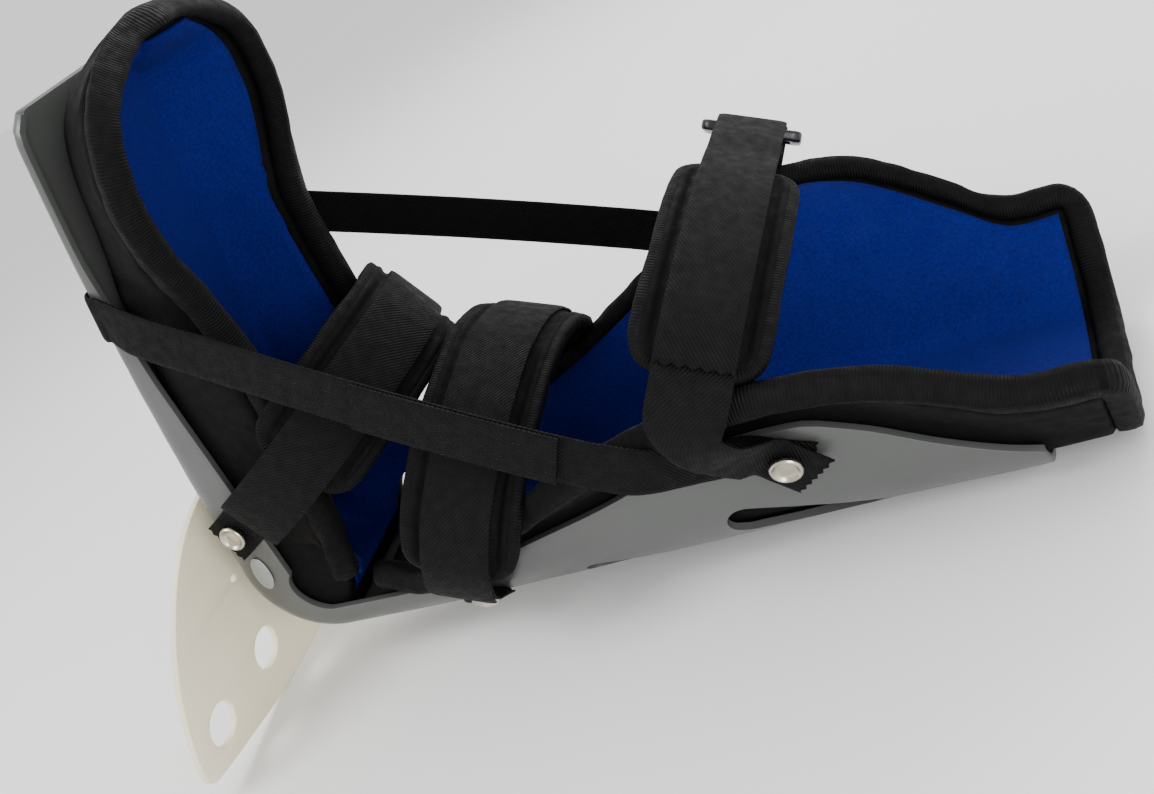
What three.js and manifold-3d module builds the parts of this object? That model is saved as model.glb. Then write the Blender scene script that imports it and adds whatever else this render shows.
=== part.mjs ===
// Night splint for plantar fasciitis.
// One moulded shell bends at the heel and carries two padded liners, three padded straps,
// a tension band from the sole to the calf and a flat stabiliser plate behind the heel.
// Units are millimetres. The model is first laid out with the calf along +X and the sole
// rising from the heel corner, and is then turned so that it rests on the floor by itself.
import * as THREE from 'three';
import { mergeVertices } from 'three/addons/utils/BufferGeometryUtils.js';
import Module from 'manifold-3d';

const wasm = await Module();
wasm.setup();

// Driving sizes of the shell
const soleLength = 270;          // heel corner to toe edge, along the sole
const calfLength = 362;          // heel corner to knee end, along the calf
const ankleAngle = 75.6;         // degrees between sole and calf
const heelRadius = 38;           // outer bend at the heel
const shellWall = 3;
const toeHalfWidth = 45;
const cuffHalfWidth = 50;        // at the foot of the calf walls
const heelWallHeight = 30;
const cuffWallHeight = 62;
const seatGap = 0.3;             // clearance between pieces that touch

// Driving sizes of the soft parts
const padThickness = 8;
const liningThickness = 1.2;
const liningSeat = 0.9;          // clearance under the lining, which bends with the liner
const bindingWidth = 11;
const bindingHeight = 8;
const bindingSeat = 1.2;         // clearance under the binding, which bends round corners
const footWingHeight = 55;       // above the sole's outer face
const footRimHalfWidth = 62;     // widest place of the toe oval
const toeOvalHeight = 40;
const cuffRimHeight = 80;
const cuffRimHalfWidth = 81;
const kneeOverhang = 22;         // pad past the knee end of the shell

// Driving sizes of the straps
const webbing = 1.6;             // thickness of the strap webbing
const strapWidth = 27;
const anchorWidth = 21;
const strapPadWidth = 43;
const strapPadThickness = 7;
const footArchRise = 116;        // rivet to the top of the forefoot strap
const footArchHalfWidth = 67;
const ankleArchRise = 101;
const ankleArchHalfWidth = 77;
const calfArchHeight = 126;      // above the calf's outer line
const calfArchHalfWidth = 92;
const calfArchRise = 42;         // from the flared rim to the top of the calf strap
const tensionWidth = 20;
const tensionHeight = 188;       // centre of the band on the sole, from the heel corner
const tailLength = 9;            // webbing past its rivet
const wallSlack = 0.45;          // for the wall's curve under a flat band
const stackLift = seatGap + webbing / 2;          // first webbing on a wall
const stackStep = webbing + 2 * seatGap;          // from one webbing to the next
const strapSeat = webbing / 2 + 2 * seatGap + strapPadThickness / 2;

// Driving sizes of the hardware
const rivetCap = 12;             // diameter
const rivetDome = 2.4;
const rivetShank = 4;
const holeClearance = 0.3;       // round a shank
const loopBar = 5;               // thickness of the plastic loop's bars
const loopLength = 40;
const loopThickness = 3.6;
const loopCorner = 4;
const loopSlotCorner = 1.5;
const loopSpan = 17;             // between the loop's two bar centres
const plateHalfWidth = 100;
const plateTop = 84;             // highest point of the plate, from the heel corner
const plateBottom = -35;         // its resting edge
const plateWall = 3;
const plateGap = 10;             // between plate and sole
const plateHole = 20.5;
const plateHoleInner = 27.5;     // hole centres from the middle
const plateHoleOuter = 75.5;
const plateHoleHeight = -7;
const pilotHole = 4;
const pilotHeight = 37;
const spacerDiameter = 13;
const spacerHeight = 48;
const spacerOffset = 14;
const labelLength = 19;
const labelWidth = 9;
const labelThickness = 0.6;
const labelPlace = { along: 51, up: 17 };        // on the sole, and above its outer face
const windowHeight = 18;         // openings through the calf walls
const windowBelly = 0.6;         // where a window's curves are fullest, as a share of its length
const windowFullness = 0.9;      // how full they are, as a share of its half height
const toolDepth = 8 * shellWall; // of the tools that cut through a wall

const degrees = Math.PI / 180;
const sole = new THREE.Vector2(Math.cos(ankleAngle * degrees), Math.sin(ankleAngle * degrees));
const lift = new THREE.Vector2(sole.y, -sole.x);
const bendCentre = new THREE.Vector2(heelRadius / Math.tan(ankleAngle * degrees / 2), heelRadius);
const bendStart = bendCentre.x;

// Side view place of a point that lies along the sole and above its outer face
function onSole(along, above) {
  return sole.clone().multiplyScalar(along).addScaledVector(lift, above);
}

function onCalf(along, above) {
  return new THREE.Vector2(along, above);
}

// Value of a table column at a place between its rows, along a straight line
function column(rows, name, at) {
  if (at <= rows[0].at) return rows[0][name];
  for (let i = 1; i < rows.length; i += 1) {
    if (at <= rows[i].at) {
      const share = (at - rows[i - 1].at) / (rows[i].at - rows[i - 1].at);
      return THREE.MathUtils.lerp(rows[i - 1][name], rows[i][name], share);
    }
  }
  return rows[rows.length - 1][name];
}

// Shell sections. at is a share of the length, half and round shares of the half width,
// height a share of the wall height, and flare the wall's lean in degrees.
const soleRows = [
  { at: 0.18, half: 0.86, height: 1.00, flare: 3, round: 0.30 },
  { at: 0.29, half: 0.90, height: 0.86, flare: 4, round: 0.24 },
  { at: 0.41, half: 0.94, height: 0.68, flare: 4, round: 0.18 },
  { at: 0.52, half: 0.97, height: 0.50, flare: 4, round: 0.14 },
  { at: 0.60, half: 0.99, height: 0.38, flare: 4, round: 0.12 },
  { at: 0.71, half: 1.00, height: 0.26, flare: 4, round: 0.10 },
  { at: 0.80, half: 1.01, height: 0.18, flare: 4, round: 0.09 },
  { at: 0.955, half: 1.00, height: 0.17, flare: 4, round: 0.09 },
  { at: 0.985, half: 0.95, height: 0.165, flare: 4, round: 0.09 },
  { at: 1.00, half: 0.84, height: 0.16, flare: 4, round: 0.09 },
];
const calfRows = [
  { at: 0.135, half: 0.77, height: 0.27, flare: 4, round: 0.28 },
  { at: 0.20, half: 0.79, height: 0.265, flare: 5, round: 0.28 },
  { at: 0.30, half: 0.83, height: 0.28, flare: 7, round: 0.30 },
  { at: 0.38, half: 0.87, height: 0.39, flare: 9, round: 0.40 },
  { at: 0.45, half: 0.91, height: 0.52, flare: 11, round: 0.50 },
  { at: 0.56, half: 0.96, height: 0.70, flare: 13, round: 0.60 },
  { at: 0.66, half: 0.99, height: 0.89, flare: 14, round: 0.66 },
  { at: 0.745, half: 1.00, height: 1.00, flare: 14, round: 0.70 },
  { at: 0.80, half: 1.00, height: 0.985, flare: 14, round: 0.70 },
  { at: 0.85, half: 1.00, height: 0.85, flare: 14, round: 0.70 },
  { at: 0.92, half: 1.01, height: 0.57, flare: 15, round: 0.70 },
  { at: 0.98, half: 1.02, height: 0.37, flare: 16, round: 0.70 },
  { at: 1.00, half: 1.02, height: 0.31, flare: 16, round: 0.70 },
];

// Section values at a place on the sole or on the calf, in millimetres
function soleSection(along) {
  const at = along / soleLength;
  return {
    half: column(soleRows, 'half', at) * toeHalfWidth,
    height: column(soleRows, 'height', at) * heelWallHeight,
    flare: column(soleRows, 'flare', at) * degrees,
    round: column(soleRows, 'round', at) * toeHalfWidth,
  };
}

function calfSection(along) {
  const at = along / calfLength;
  return {
    half: column(calfRows, 'half', at) * cuffHalfWidth,
    height: column(calfRows, 'height', at) * cuffWallHeight,
    flare: column(calfRows, 'flare', at) * degrees,
    round: column(calfRows, 'round', at) * cuffHalfWidth,
  };
}

// Half width of the shell's outer face at a height above the floor of its trough
function halfWidthAt(section, height) {
  const arcTop = section.round * (1 - Math.sin(section.flare));
  if (height >= arcTop) return section.half + height * Math.tan(section.flare);
  const turn = Math.acos(1 - Math.max(height, 0) / section.round);
  const arcStart = section.half - section.round * Math.tan((Math.PI / 2 - section.flare) / 2);
  return arcStart + section.round * Math.sin(turn);
}

// Half of a trough section, from the middle of its floor to its rim, as [out, up] pairs
function troughProfile(section, inset, rimOut, rimUp, count) {
  const round = Math.max(section.round - inset, 1);
  const half = section.half - inset * Math.tan(Math.PI / 4 - section.flare / 2);
  const turnEnd = Math.PI / 2 - section.flare;
  const arcStart = half - round * Math.tan(turnEnd / 2);
  const dense = [[0, inset], [arcStart / 2, inset], [arcStart, inset]];
  const wallUp = Math.min(section.height, rimUp);
  const arcSteps = 8;
  for (let i = 1; i <= arcSteps; i += 1) {
    const turn = turnEnd * i / arcSteps;
    const up = inset + round * (1 - Math.cos(turn));
    if (up > wallUp) break;
    dense.push([arcStart + round * Math.sin(turn), up]);
  }
  const last = dense[dense.length - 1];
  if (wallUp > last[1] + 0.5) {
    const out = last[0] + (wallUp - last[1]) * Math.tan(section.flare);
    dense.push([out, wallUp]);
  }
  if (rimUp > wallUp + 0.5) dense.push([rimOut, rimUp]);
  return resample(dense, count);
}

// Same number of evenly spaced points along a line of pairs
function resample(points, count) {
  const lengths = [0];
  for (let i = 1; i < points.length; i += 1) {
    const step = Math.hypot(points[i][0] - points[i - 1][0], points[i][1] - points[i - 1][1]);
    lengths.push(lengths[i - 1] + step);
  }
  const total = lengths[lengths.length - 1];
  const result = [];
  let piece = 1;
  for (let i = 0; i <= count; i += 1) {
    const target = total * i / count;
    while (piece < points.length - 1 && lengths[piece] < target) piece += 1;
    const share = (target - lengths[piece - 1]) / (lengths[piece] - lengths[piece - 1]);
    result.push([
      THREE.MathUtils.lerp(points[piece - 1][0], points[piece][0], share),
      THREE.MathUtils.lerp(points[piece - 1][1], points[piece][1], share),
    ]);
  }
  return result;
}

// A row of points across the trough: the section is placed along the line from its floor
// point to its rim point in the side view, and is mirrored to the other side
function acrossRow(profile, floor, direction) {
  const row = [];
  const place = ([out, up], side) => {
    const spot = floor.clone().addScaledVector(direction, up);
    row.push(new THREE.Vector3(spot.x, side * out, spot.y));
  };
  for (let i = profile.length - 1; i > 0; i -= 1) place(profile[i], -1);
  for (const pair of profile) place(pair, 1);
  return row;
}

// Outward normals of a grid of points, from the neighbours of each
function gridNormals(grid) {
  return grid.map((row, i) => row.map((point, j) => {
    const before = grid[Math.max(i - 1, 0)][j];
    const after = grid[Math.min(i + 1, grid.length - 1)][j];
    const left = row[Math.max(j - 1, 0)];
    const right = row[Math.min(j + 1, row.length - 1)];
    const along = after.clone().sub(before);
    const across = right.clone().sub(left);
    return along.cross(across).normalize();
  }));
}

function movedGrid(grid, distance) {
  const normals = gridNormals(grid);
  return grid.map((row, i) => row.map((point, j) => (
    point.clone().addScaledVector(normals[i][j], distance))));
}

// Closed solid between two grids of the same size
function solidBetween(first, second) {
  const rows = first.length;
  const columns = first[0].length;
  const positions = [];
  const index = [];
  for (const grid of [first, second]) {
    for (const row of grid) {
      for (const point of row) positions.push(point.x, point.y, point.z);
    }
  }
  const at = (layer, i, j) => layer * rows * columns + i * columns + j;
  const quad = (a, b, c, d) => index.push(a, b, c, a, c, d);
  for (let i = 0; i + 1 < rows; i += 1) {
    for (let j = 0; j + 1 < columns; j += 1) {
      quad(at(0, i, j), at(0, i + 1, j), at(0, i + 1, j + 1), at(0, i, j + 1));
      quad(at(1, i, j), at(1, i, j + 1), at(1, i + 1, j + 1), at(1, i + 1, j));
    }
  }
  for (let i = 0; i + 1 < rows; i += 1) {
    const end = columns - 1;
    quad(at(0, i, 0), at(1, i, 0), at(1, i + 1, 0), at(0, i + 1, 0));
    quad(at(0, i, end), at(0, i + 1, end), at(1, i + 1, end), at(1, i, end));
  }
  for (let j = 0; j + 1 < columns; j += 1) {
    const end = rows - 1;
    quad(at(0, 0, j), at(0, 0, j + 1), at(1, 0, j + 1), at(1, 0, j));
    quad(at(0, end, j), at(1, end, j), at(1, end, j + 1), at(0, end, j + 1));
  }
  return outwardGeometry(positions, index);
}

// Geometry with its faces turned outward
function outwardGeometry(positions, index) {
  let volume = 0;
  const corner = (k) => new THREE.Vector3().fromArray(positions, 3 * k);
  for (let k = 0; k < index.length; k += 3) {
    const [a, b, c] = [corner(index[k]), corner(index[k + 1]), corner(index[k + 2])];
    volume += a.dot(b.cross(c));
  }
  if (volume < 0) {
    for (let k = 0; k < index.length; k += 3) {
      [index[k + 1], index[k + 2]] = [index[k + 2], index[k + 1]];
    }
  }
  const geometry = new THREE.BufferGeometry();
  geometry.setAttribute('position', new THREE.Float32BufferAttribute(positions, 3));
  geometry.setIndex(index);
  return geometry;
}

// Cutting of one closed geometry by others
function toSolid(geometry) {
  const plain = geometry.clone();
  plain.deleteAttribute('normal');
  plain.deleteAttribute('uv');
  const merged = mergeVertices(plain, 1e-4);
  return new wasm.Manifold(new wasm.Mesh({
    numProp: 3,
    vertProperties: Float32Array.from(merged.attributes.position.array),
    triVerts: Uint32Array.from(merged.index.array),
  }));
}

function cut(geometry, tools) {
  let solid = toSolid(geometry);
  for (const tool of tools) solid = solid.subtract(toSolid(tool));
  const mesh = solid.getMesh();
  const result = new THREE.BufferGeometry();
  result.setAttribute('position', new THREE.Float32BufferAttribute(mesh.vertProperties, 3));
  result.setIndex(Array.from(mesh.triVerts));
  return result;
}

// Closed solid through rings of points, closed into a loop or capped at both ends
function solidThroughRings(rings, looped) {
  const count = rings[0].length;
  const positions = [];
  const index = [];
  for (const ring of rings) for (const point of ring) positions.push(point.x, point.y, point.z);
  const steps = looped ? rings.length : rings.length - 1;
  for (let i = 0; i < steps; i += 1) {
    const next = (i + 1) % rings.length;
    for (let j = 0; j < count; j += 1) {
      const k = (j + 1) % count;
      const [a, b, c, d] = [i * count + j, i * count + k, next * count + k, next * count + j];
      index.push(a, b, c, a, c, d);
    }
  }
  if (!looped) {
    const last = (rings.length - 1) * count;
    for (let j = 1; j + 1 < count; j += 1) {
      index.push(0, j + 1, j);
      index.push(last, last + j, last + j + 1);
    }
  }
  return outwardGeometry(positions, index);
}

// A direction made square to a path's own direction
function squared(across, tangent) {
  return across.clone().addScaledVector(tangent, -across.dot(tangent)).normalize();
}

// A flat band along a path, given as rows of centre point, width direction and width
function bandGrids(path, thickness) {
  const lower = [];
  const upper = [];
  path.forEach((row, i) => {
    const before = path[Math.max(i - 1, 0)].point;
    const after = path[Math.min(i + 1, path.length - 1)].point;
    const tangent = after.clone().sub(before).normalize();
    const across = squared(row.across, tangent);
    const normal = across.clone().cross(tangent).normalize();
    const lowerRow = [];
    const upperRow = [];
    for (const side of [-0.5, 0.5]) {
      const spot = row.point.clone().addScaledVector(across, side * row.width);
      lowerRow.push(spot.clone().addScaledVector(normal, -thickness / 2));
      upperRow.push(spot.clone().addScaledVector(normal, thickness / 2));
    }
    lower.push(lowerRow);
    upper.push(upperRow);
  });
  return [lower, upper];
}

function band(path, thickness) {
  const [lower, upper] = bandGrids(path, thickness);
  return solidBetween(lower, upper);
}

// Smooth path through rows of a band, with the width and its direction carried along
function smoothPath(rows, steps) {
  const curve = new THREE.CatmullRomCurve3(rows.map((row) => row.point), false, 'centripetal');
  const result = [];
  const spans = rows.length - 1;
  for (let i = 0; i <= spans * steps; i += 1) {
    const t = i / steps;
    const k = Math.min(Math.floor(t), spans - 1);
    const share = t - k;
    result.push({
      point: curve.getPoint(i / (spans * steps)),
      across: rows[k].across.clone().lerp(rows[k + 1].across, share).normalize(),
      width: THREE.MathUtils.lerp(rows[k].width, rows[k + 1].width, share),
    });
  }
  return result;
}

// The same rows on the other side of the splint, in the opposite order
function mirrored(rows) {
  return rows.map((row) => ({
    point: new THREE.Vector3(row.point.x, -row.point.y, row.point.z),
    across: new THREE.Vector3(row.across.x, -row.across.y, row.across.z),
    width: row.width,
  })).reverse();
}

// The stretch of a path between two shares of its length in rows
function stretch(path, from, to) {
  const last = path.length - 1;
  return path.slice(Math.round(from * last), Math.round(to * last) + 1);
}

// A path moved inwards, away from its own outer face
function movedIn(path, distance, width) {
  return path.map((row, i) => {
    const before = path[Math.max(i - 1, 0)].point;
    const after = path[Math.min(i + 1, path.length - 1)].point;
    const tangent = after.clone().sub(before).normalize();
    const across = squared(row.across, tangent);
    const normal = tangent.clone().cross(across).normalize();
    return { point: row.point.clone().addScaledVector(normal, distance), across, width };
  });
}

// Outer face of the shell's wall at a height of its section, with the way that it faces
function wallSpot(section, height) {
  const arcTop = section.round * (1 - Math.sin(section.flare));
  const turn = height >= arcTop
    ? Math.PI / 2 - section.flare
    : Math.acos(1 - Math.max(height, 0) / section.round);
  return { out: halfWidthAt(section, height), facing: [Math.sin(turn), -Math.cos(turn)] };
}

// Shell
const soleStations = [1, 0.985, 0.955, 0.87, 0.8, 0.71, 0.6, 0.52, 0.41, 0.29];
const calfStations = [0.2, 0.3, 0.38, 0.45, 0.56, 0.66, 0.745, 0.8, 0.85, 0.92, 0.98, 1];
const bendSteps = 7;
const shellColumns = 8;
const upright = new THREE.Vector2(0, 1);

// Section of the heel bend, a share of the way from the sole's to the calf's
function bendSection(share) {
  const [first, second] = [soleSection(bendStart), calfSection(bendStart)];
  const section = {};
  for (const key of Object.keys(first)) {
    section[key] = THREE.MathUtils.lerp(first[key], second[key], share);
  }
  return section;
}

// The way in from the bend's outer face, a share of the way round it
function bendInward(share) {
  const turn = (180 - ankleAngle) * degrees * (1 - share);
  return new THREE.Vector2(Math.sin(turn), Math.cos(turn));
}

function shellGrid() {
  const grid = [];
  const row = (section, floor, direction) => {
    const rimOut = section.half + section.height * Math.tan(section.flare);
    const profile = troughProfile(section, 0, rimOut, section.height, shellColumns);
    grid.push(acrossRow(profile, floor, direction));
  };
  for (const at of soleStations) {
    const along = at * soleLength;
    row(soleSection(along), onSole(along, 0), lift);
  }
  for (let i = 0; i <= bendSteps; i += 1) {
    const direction = bendInward(i / bendSteps);
    const floor = bendCentre.clone().addScaledVector(direction, -heelRadius);
    row(bendSection(i / bendSteps), floor, direction);
  }
  for (const at of calfStations) {
    const along = at * calfLength;
    row(calfSection(along), onCalf(along, 0), upright);
  }
  return grid;
}

const calfLine = new THREE.Vector3(1, 0, 0);
const soleLine = new THREE.Vector3(sole.x, 0, sole.y);

// Openings through the lower corners of the calf walls: start and end as shares of the calf
// length, height of the window windowHeight, facing and slope in degrees
const windowRows = [
  { start: 0.68, end: 0.85, height: 1.0, facing: 26, slope: 15 },
  { start: 0.49, end: 0.62, height: 0.7, facing: 46, slope: 8 },
];

function windowTool(row, side) {
  const radius = row.height * windowHeight / 2;
  const length = (row.end - row.start) * calfLength;
  const shape = new THREE.Shape();
  shape.absarc(0, 0, radius, Math.PI / 2, 1.5 * Math.PI, false);
  const [belly, fullness] = [length * windowBelly, radius * windowFullness];
  shape.quadraticCurveTo(belly, -fullness, length - radius, 0);
  shape.quadraticCurveTo(belly, fullness, 0, radius);
  const tool = new THREE.ExtrudeGeometry(shape, {
    depth: toolDepth, bevelEnabled: false, curveSegments: 4,
  });
  tool.rotateZ(side * row.slope * degrees);
  const section = calfSection(row.start * calfLength);
  const turn = Math.PI / 2 - row.facing * degrees;
  const outward = new THREE.Vector3(0, side * Math.sin(turn), -Math.cos(turn));
  const upWall = outward.clone().cross(calfLine);
  const height = section.round * (1 - Math.cos(turn));
  const out = side * halfWidthAt(section, height);
  const centre = new THREE.Vector3(row.start * calfLength + radius, out, height);
  centre.addScaledVector(outward, -toolDepth / 2);
  tool.applyMatrix4(new THREE.Matrix4().makeBasis(calfLine, upWall, outward).setPosition(centre));
  return tool;
}

// Foot liner. at is the place on the sole and rimAt that of its rim, as shares of the sole
// length; rise is a share of the toe oval's height, half of the toe half width, rimUp of the
// wing height and rimOut of the rim's half width.
const footRows = [
  { at: 1.062, rise: 0.84, half: 0.16, rimAt: 1.066, rimUp: 0.727, rimOut: 0.20 },
  { at: 1.050, rise: 0.60, half: 0.30, rimAt: 1.056, rimUp: 0.727, rimOut: 0.40 },
  { at: 1.020, rise: 0.34, half: 0.52, rimAt: 1.035, rimUp: 0.727, rimOut: 0.64 },
  { at: 0.985, rise: 0.15, half: 0.70, rimAt: 1.005, rimUp: 0.727, rimOut: 0.82 },
  { at: 0.940, rise: 0.05, half: 0.82, rimAt: 0.960, rimUp: 0.727, rimOut: 0.94 },
  { at: 0.870, rise: 0.00, half: 0.88, rimAt: 0.880, rimUp: 0.727, rimOut: 1.00 },
  { at: 0.780, rise: 0.00, half: 0.92, rimAt: 0.785, rimUp: 0.735, rimOut: 0.93 },
  { at: 0.700, rise: 0.00, half: 1.00, rimAt: 0.700, rimUp: 0.800, rimOut: 0.82 },
  { at: 0.600, rise: 0.00, half: 1.00, rimAt: 0.600, rimUp: 0.920, rimOut: 0.79 },
  { at: 0.500, rise: 0.00, half: 1.00, rimAt: 0.500, rimUp: 0.990, rimOut: 0.78 },
  { at: 0.400, rise: 0.00, half: 1.00, rimAt: 0.410, rimUp: 1.000, rimOut: 0.78 },
  { at: 0.300, rise: 0.00, half: 1.00, rimAt: 0.330, rimUp: 1.020, rimOut: 0.78 },
  { at: 0.200, rise: 0.00, half: 1.00, rimAt: 0.265, rimUp: 1.030, rimOut: 0.76 },
];
const footHeelStations = [0.3, 0.6, 0.85, 1];     // shares of the heel bend
const footHeelRim = { at: 0.19, up: 1.07, out: 0.75 };  // where the heel end's rim lies
const padSeat = shellWall + 4 * seatGap;          // liners clear the curved wall
const leanClear = 2;                              // height of the shell's rim that a liner clears
const leanLimit = 0.62;                           // where a liner leans out at the latest
const heelLean = 0.8;
const roundLimit = 0.8;                           // share of a section's half width
const toeSectionAt = 0.95;                        // the toe's sections repeat the one from here
const padTrough = 4;
const padLean = 2;

// Profile of a liner: down in the shell's trough first, then leaning out to its rim
function padProfile(section, inset, rimOut, rimUp, leanFrom) {
  const trough = troughProfile({ ...section, height: leanFrom }, inset, 0, leanFrom, padTrough);
  const from = trough[trough.length - 1];
  for (let i = 1; i <= padLean; i += 1) {
    const share = i / padLean;
    trough.push([
      THREE.MathUtils.lerp(from[0], rimOut, share),
      THREE.MathUtils.lerp(from[1], rimUp, share),
    ]);
  }
  return trough;
}

function footPadGrid() {
  const grid = [];
  for (const row of footRows) {
    const along = row.at * soleLength;
    const section = soleSection(Math.min(along, soleLength * toeSectionAt));
    const narrowed = Math.min(row.half * toeHalfWidth, section.half);
    const base = row.rise * toeOvalHeight;
    const floor = onSole(along, base);
    const rim = onSole(row.rimAt * soleLength, row.rimUp * footWingHeight);
    const up = rim.distanceTo(floor);
    const widest = Math.max(section.round, base) + padSeat;
    const round = Math.min(widest, narrowed * roundLimit);
    const clear = Math.max(section.height + leanClear, section.round + padSeat);
    const lean = Math.min(clear, up * leanLimit);
    const shape = { ...section, half: narrowed, round };
    const profile = padProfile(shape, padSeat, row.rimOut * footRimHalfWidth, up, lean);
    grid.push(acrossRow(profile, floor, rim.clone().sub(floor).normalize()));
  }
  const rimEnd = onSole(footHeelRim.at * soleLength, footHeelRim.up * footWingHeight);
  const lastRow = footRows[footRows.length - 1];
  const rimStart = onSole(lastRow.rimAt * soleLength, lastRow.rimUp * footWingHeight);
  for (const share of footHeelStations) {
    const floor = bendCentre.clone().addScaledVector(bendInward(share), -heelRadius);
    const rim = rimStart.clone().lerp(rimEnd, share);
    const up = rim.distanceTo(floor);
    const rimOut = THREE.MathUtils.lerp(lastRow.rimOut, footHeelRim.out, share) * footRimHalfWidth;
    const profile = padProfile(bendSection(share), padSeat, rimOut, up, up * heelLean);
    grid.push(acrossRow(profile, floor, rim.clone().sub(floor).normalize()));
  }
  return grid;
}

// Calf liner, in the same way along the calf
const calfPadRows = [
  { at: 0.205, rimAt: 0.250, rimUp: 0.33, rimOut: 0.575 },
  { at: 0.265, rimAt: 0.290, rimUp: 0.29, rimOut: 0.59 },
  { at: 0.318, rimAt: 0.325, rimUp: 0.30, rimOut: 0.61 },
  { at: 0.370, rimAt: 0.370, rimUp: 0.35, rimOut: 0.62 },
  { at: 0.430, rimAt: 0.430, rimUp: 0.46, rimOut: 0.66 },
  { at: 0.490, rimAt: 0.490, rimUp: 0.57, rimOut: 0.72 },
  { at: 0.550, rimAt: 0.550, rimUp: 0.69, rimOut: 0.79 },
  { at: 0.620, rimAt: 0.620, rimUp: 0.82, rimOut: 0.87 },
  { at: 0.700, rimAt: 0.700, rimUp: 0.94, rimOut: 0.95 },
  { at: 0.780, rimAt: 0.780, rimUp: 1.00, rimOut: 1.00 },
  { at: 0.840, rimAt: 0.840, rimUp: 0.965, rimOut: 0.99 },
  { at: 0.890, rimAt: 0.890, rimUp: 0.87, rimOut: 0.945 },
  { at: 0.940, rimAt: 0.940, rimUp: 0.72, rimOut: 0.885 },
  { at: 0.985, rimAt: 0.985, rimUp: 0.58, rimOut: 0.84 },
  { at: 1.020, rimAt: 1.025, rimUp: 0.53, rimOut: 0.82 },
];

function calfPadGrid() {
  const rows = [...calfPadRows];
  const end = (calfLength + kneeOverhang) / calfLength;
  rows.push({ ...rows[rows.length - 1], at: end, rimAt: end });
  return rows.map((row) => {
    const section = calfSection(Math.min(row.at * calfLength, calfLength));
    const floor = onCalf(row.at * calfLength, 0);
    const rim = onCalf(row.rimAt * calfLength, row.rimUp * cuffRimHeight);
    const up = rim.distanceTo(floor);
    const lean = Math.min(section.height + leanClear, up - leanClear);
    const profile = padProfile(section, padSeat, row.rimOut * cuffRimHalfWidth, up, lean);
    return acrossRow(profile, floor, rim.clone().sub(floor).normalize());
  });
}

// Frames round the edge of a liner: middle of its thickness, the way out of the edge and
// the way through the thickness to the inside
function edgeFrames(outer, inner, loop) {
  const [rows, columns] = [outer.length, outer[0].length];
  const frames = [];
  const add = (i, j, outRow, outColumn) => {
    const out = new THREE.Vector3();
    if (outColumn) out.add(outer[i][j].clone().sub(outer[i][j - outColumn]).normalize());
    if (outRow) out.add(outer[i][j].clone().sub(outer[i - outRow][j]).normalize());
    const through = inner[i][j].clone().sub(outer[i][j]).normalize();
    const centre = outer[i][j].clone().add(inner[i][j]).multiplyScalar(0.5);
    frames.push({ centre, out: out.normalize(), through });
  };
  const end = columns - 1;
  const last = rows - 1;
  const sideways = (k, most) => {
    if (k === 0) return -1;
    return k === most ? 1 : 0;
  };
  if (loop) {
    for (let i = 0; i < rows; i += 1) add(i, 0, sideways(i, last), -1);
    for (let j = 1; j < end; j += 1) add(last, j, 1, 0);
    for (let i = last; i >= 0; i -= 1) add(i, end, sideways(i, last), 1);
    for (let j = end - 1; j > 0; j -= 1) add(0, j, -1, 0);
    return frames;
  }
  for (let i = last; i > 0; i -= 1) add(i, 0, 0, -1);
  for (let j = 0; j < columns; j += 1) add(0, j, -1, sideways(j, end));
  for (let i = 1; i < rows; i += 1) add(i, end, 0, 1);
  return frames;
}

const bindingSides = 6;

// Rounded binding that sits on the edge of a liner, flush with its outer face
function binding(frames, looped) {
  const rings = frames.map(({ centre, out, through }) => {
    const middle = centre.clone()
      .addScaledVector(out, bindingHeight / 2 + bindingSeat)
      .addScaledVector(through, (bindingWidth - padThickness) / 2);
    const ring = [];
    for (let k = 0; k < bindingSides; k += 1) {
      const turn = (k + 0.5) / bindingSides * 2 * Math.PI;
      const [a, b] = [Math.cos(turn), Math.sin(turn)];
      const square = 0.5 / Math.pow(a ** 4 + b ** 4, 0.25);
      ring.push(middle.clone()
        .addScaledVector(out, a * square * bindingHeight)
        .addScaledVector(through, b * square * bindingWidth));
    }
    return ring;
  });
  return solidThroughRings(rings, looped);
}

// Materials
function finish(color, roughness, metalness = 0) {
  return new THREE.MeshStandardMaterial({ color, roughness, metalness });
}

const finishes = {
  shell: finish(0x8b908f, 0.32),
  plate: finish(0xe9e3d0, 0.5),
  fabric: finish(0x1c1d1f, 0.9),
  lining: finish(0x0f2a9a, 0.95),
  webbing: finish(0x17181a, 0.8),
  loop: finish(0x101012, 0.35),
  rivet: finish(0xc9c6bd, 0.3, 1),
  label: finish(0xdedede, 0.4),
};

const splint = new THREE.Group();

function addPiece(name, geometry, material) {
  geometry.computeVertexNormals();
  const mesh = new THREE.Mesh(geometry, material);
  mesh.name = name;
  splint.add(mesh);
  return mesh;
}

const shellOuter = shellGrid();
const shellInner = movedGrid(shellOuter, shellWall);
const windows = [];
for (const row of windowRows) {
  for (const side of [-1, 1]) windows.push(windowTool(row, side));
}

// A liner is its pad, the binding round the pad's edge and the lining on its inner face
function addLiner(part, outer, loop) {
  const inner = movedGrid(outer, padThickness);
  addPiece(`${part}_pad`, solidBetween(outer, inner), finishes.fabric);
  addPiece(`${part}_binding`, binding(edgeFrames(outer, inner, loop), loop), finishes.fabric);
  const end = loop ? outer.length - 1 : outer.length;
  const within = (distance) => movedGrid(outer, distance)
    .slice(1, end)
    .map((row) => row.slice(1, -1));
  const start = padThickness + liningSeat;
  addPiece(`${part}_lining`, solidBetween(within(start), within(start + liningThickness)),
    finishes.lining);
}
addLiner('foot', footPadGrid(), false);
addLiner('calf', calfPadGrid(), true);

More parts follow.
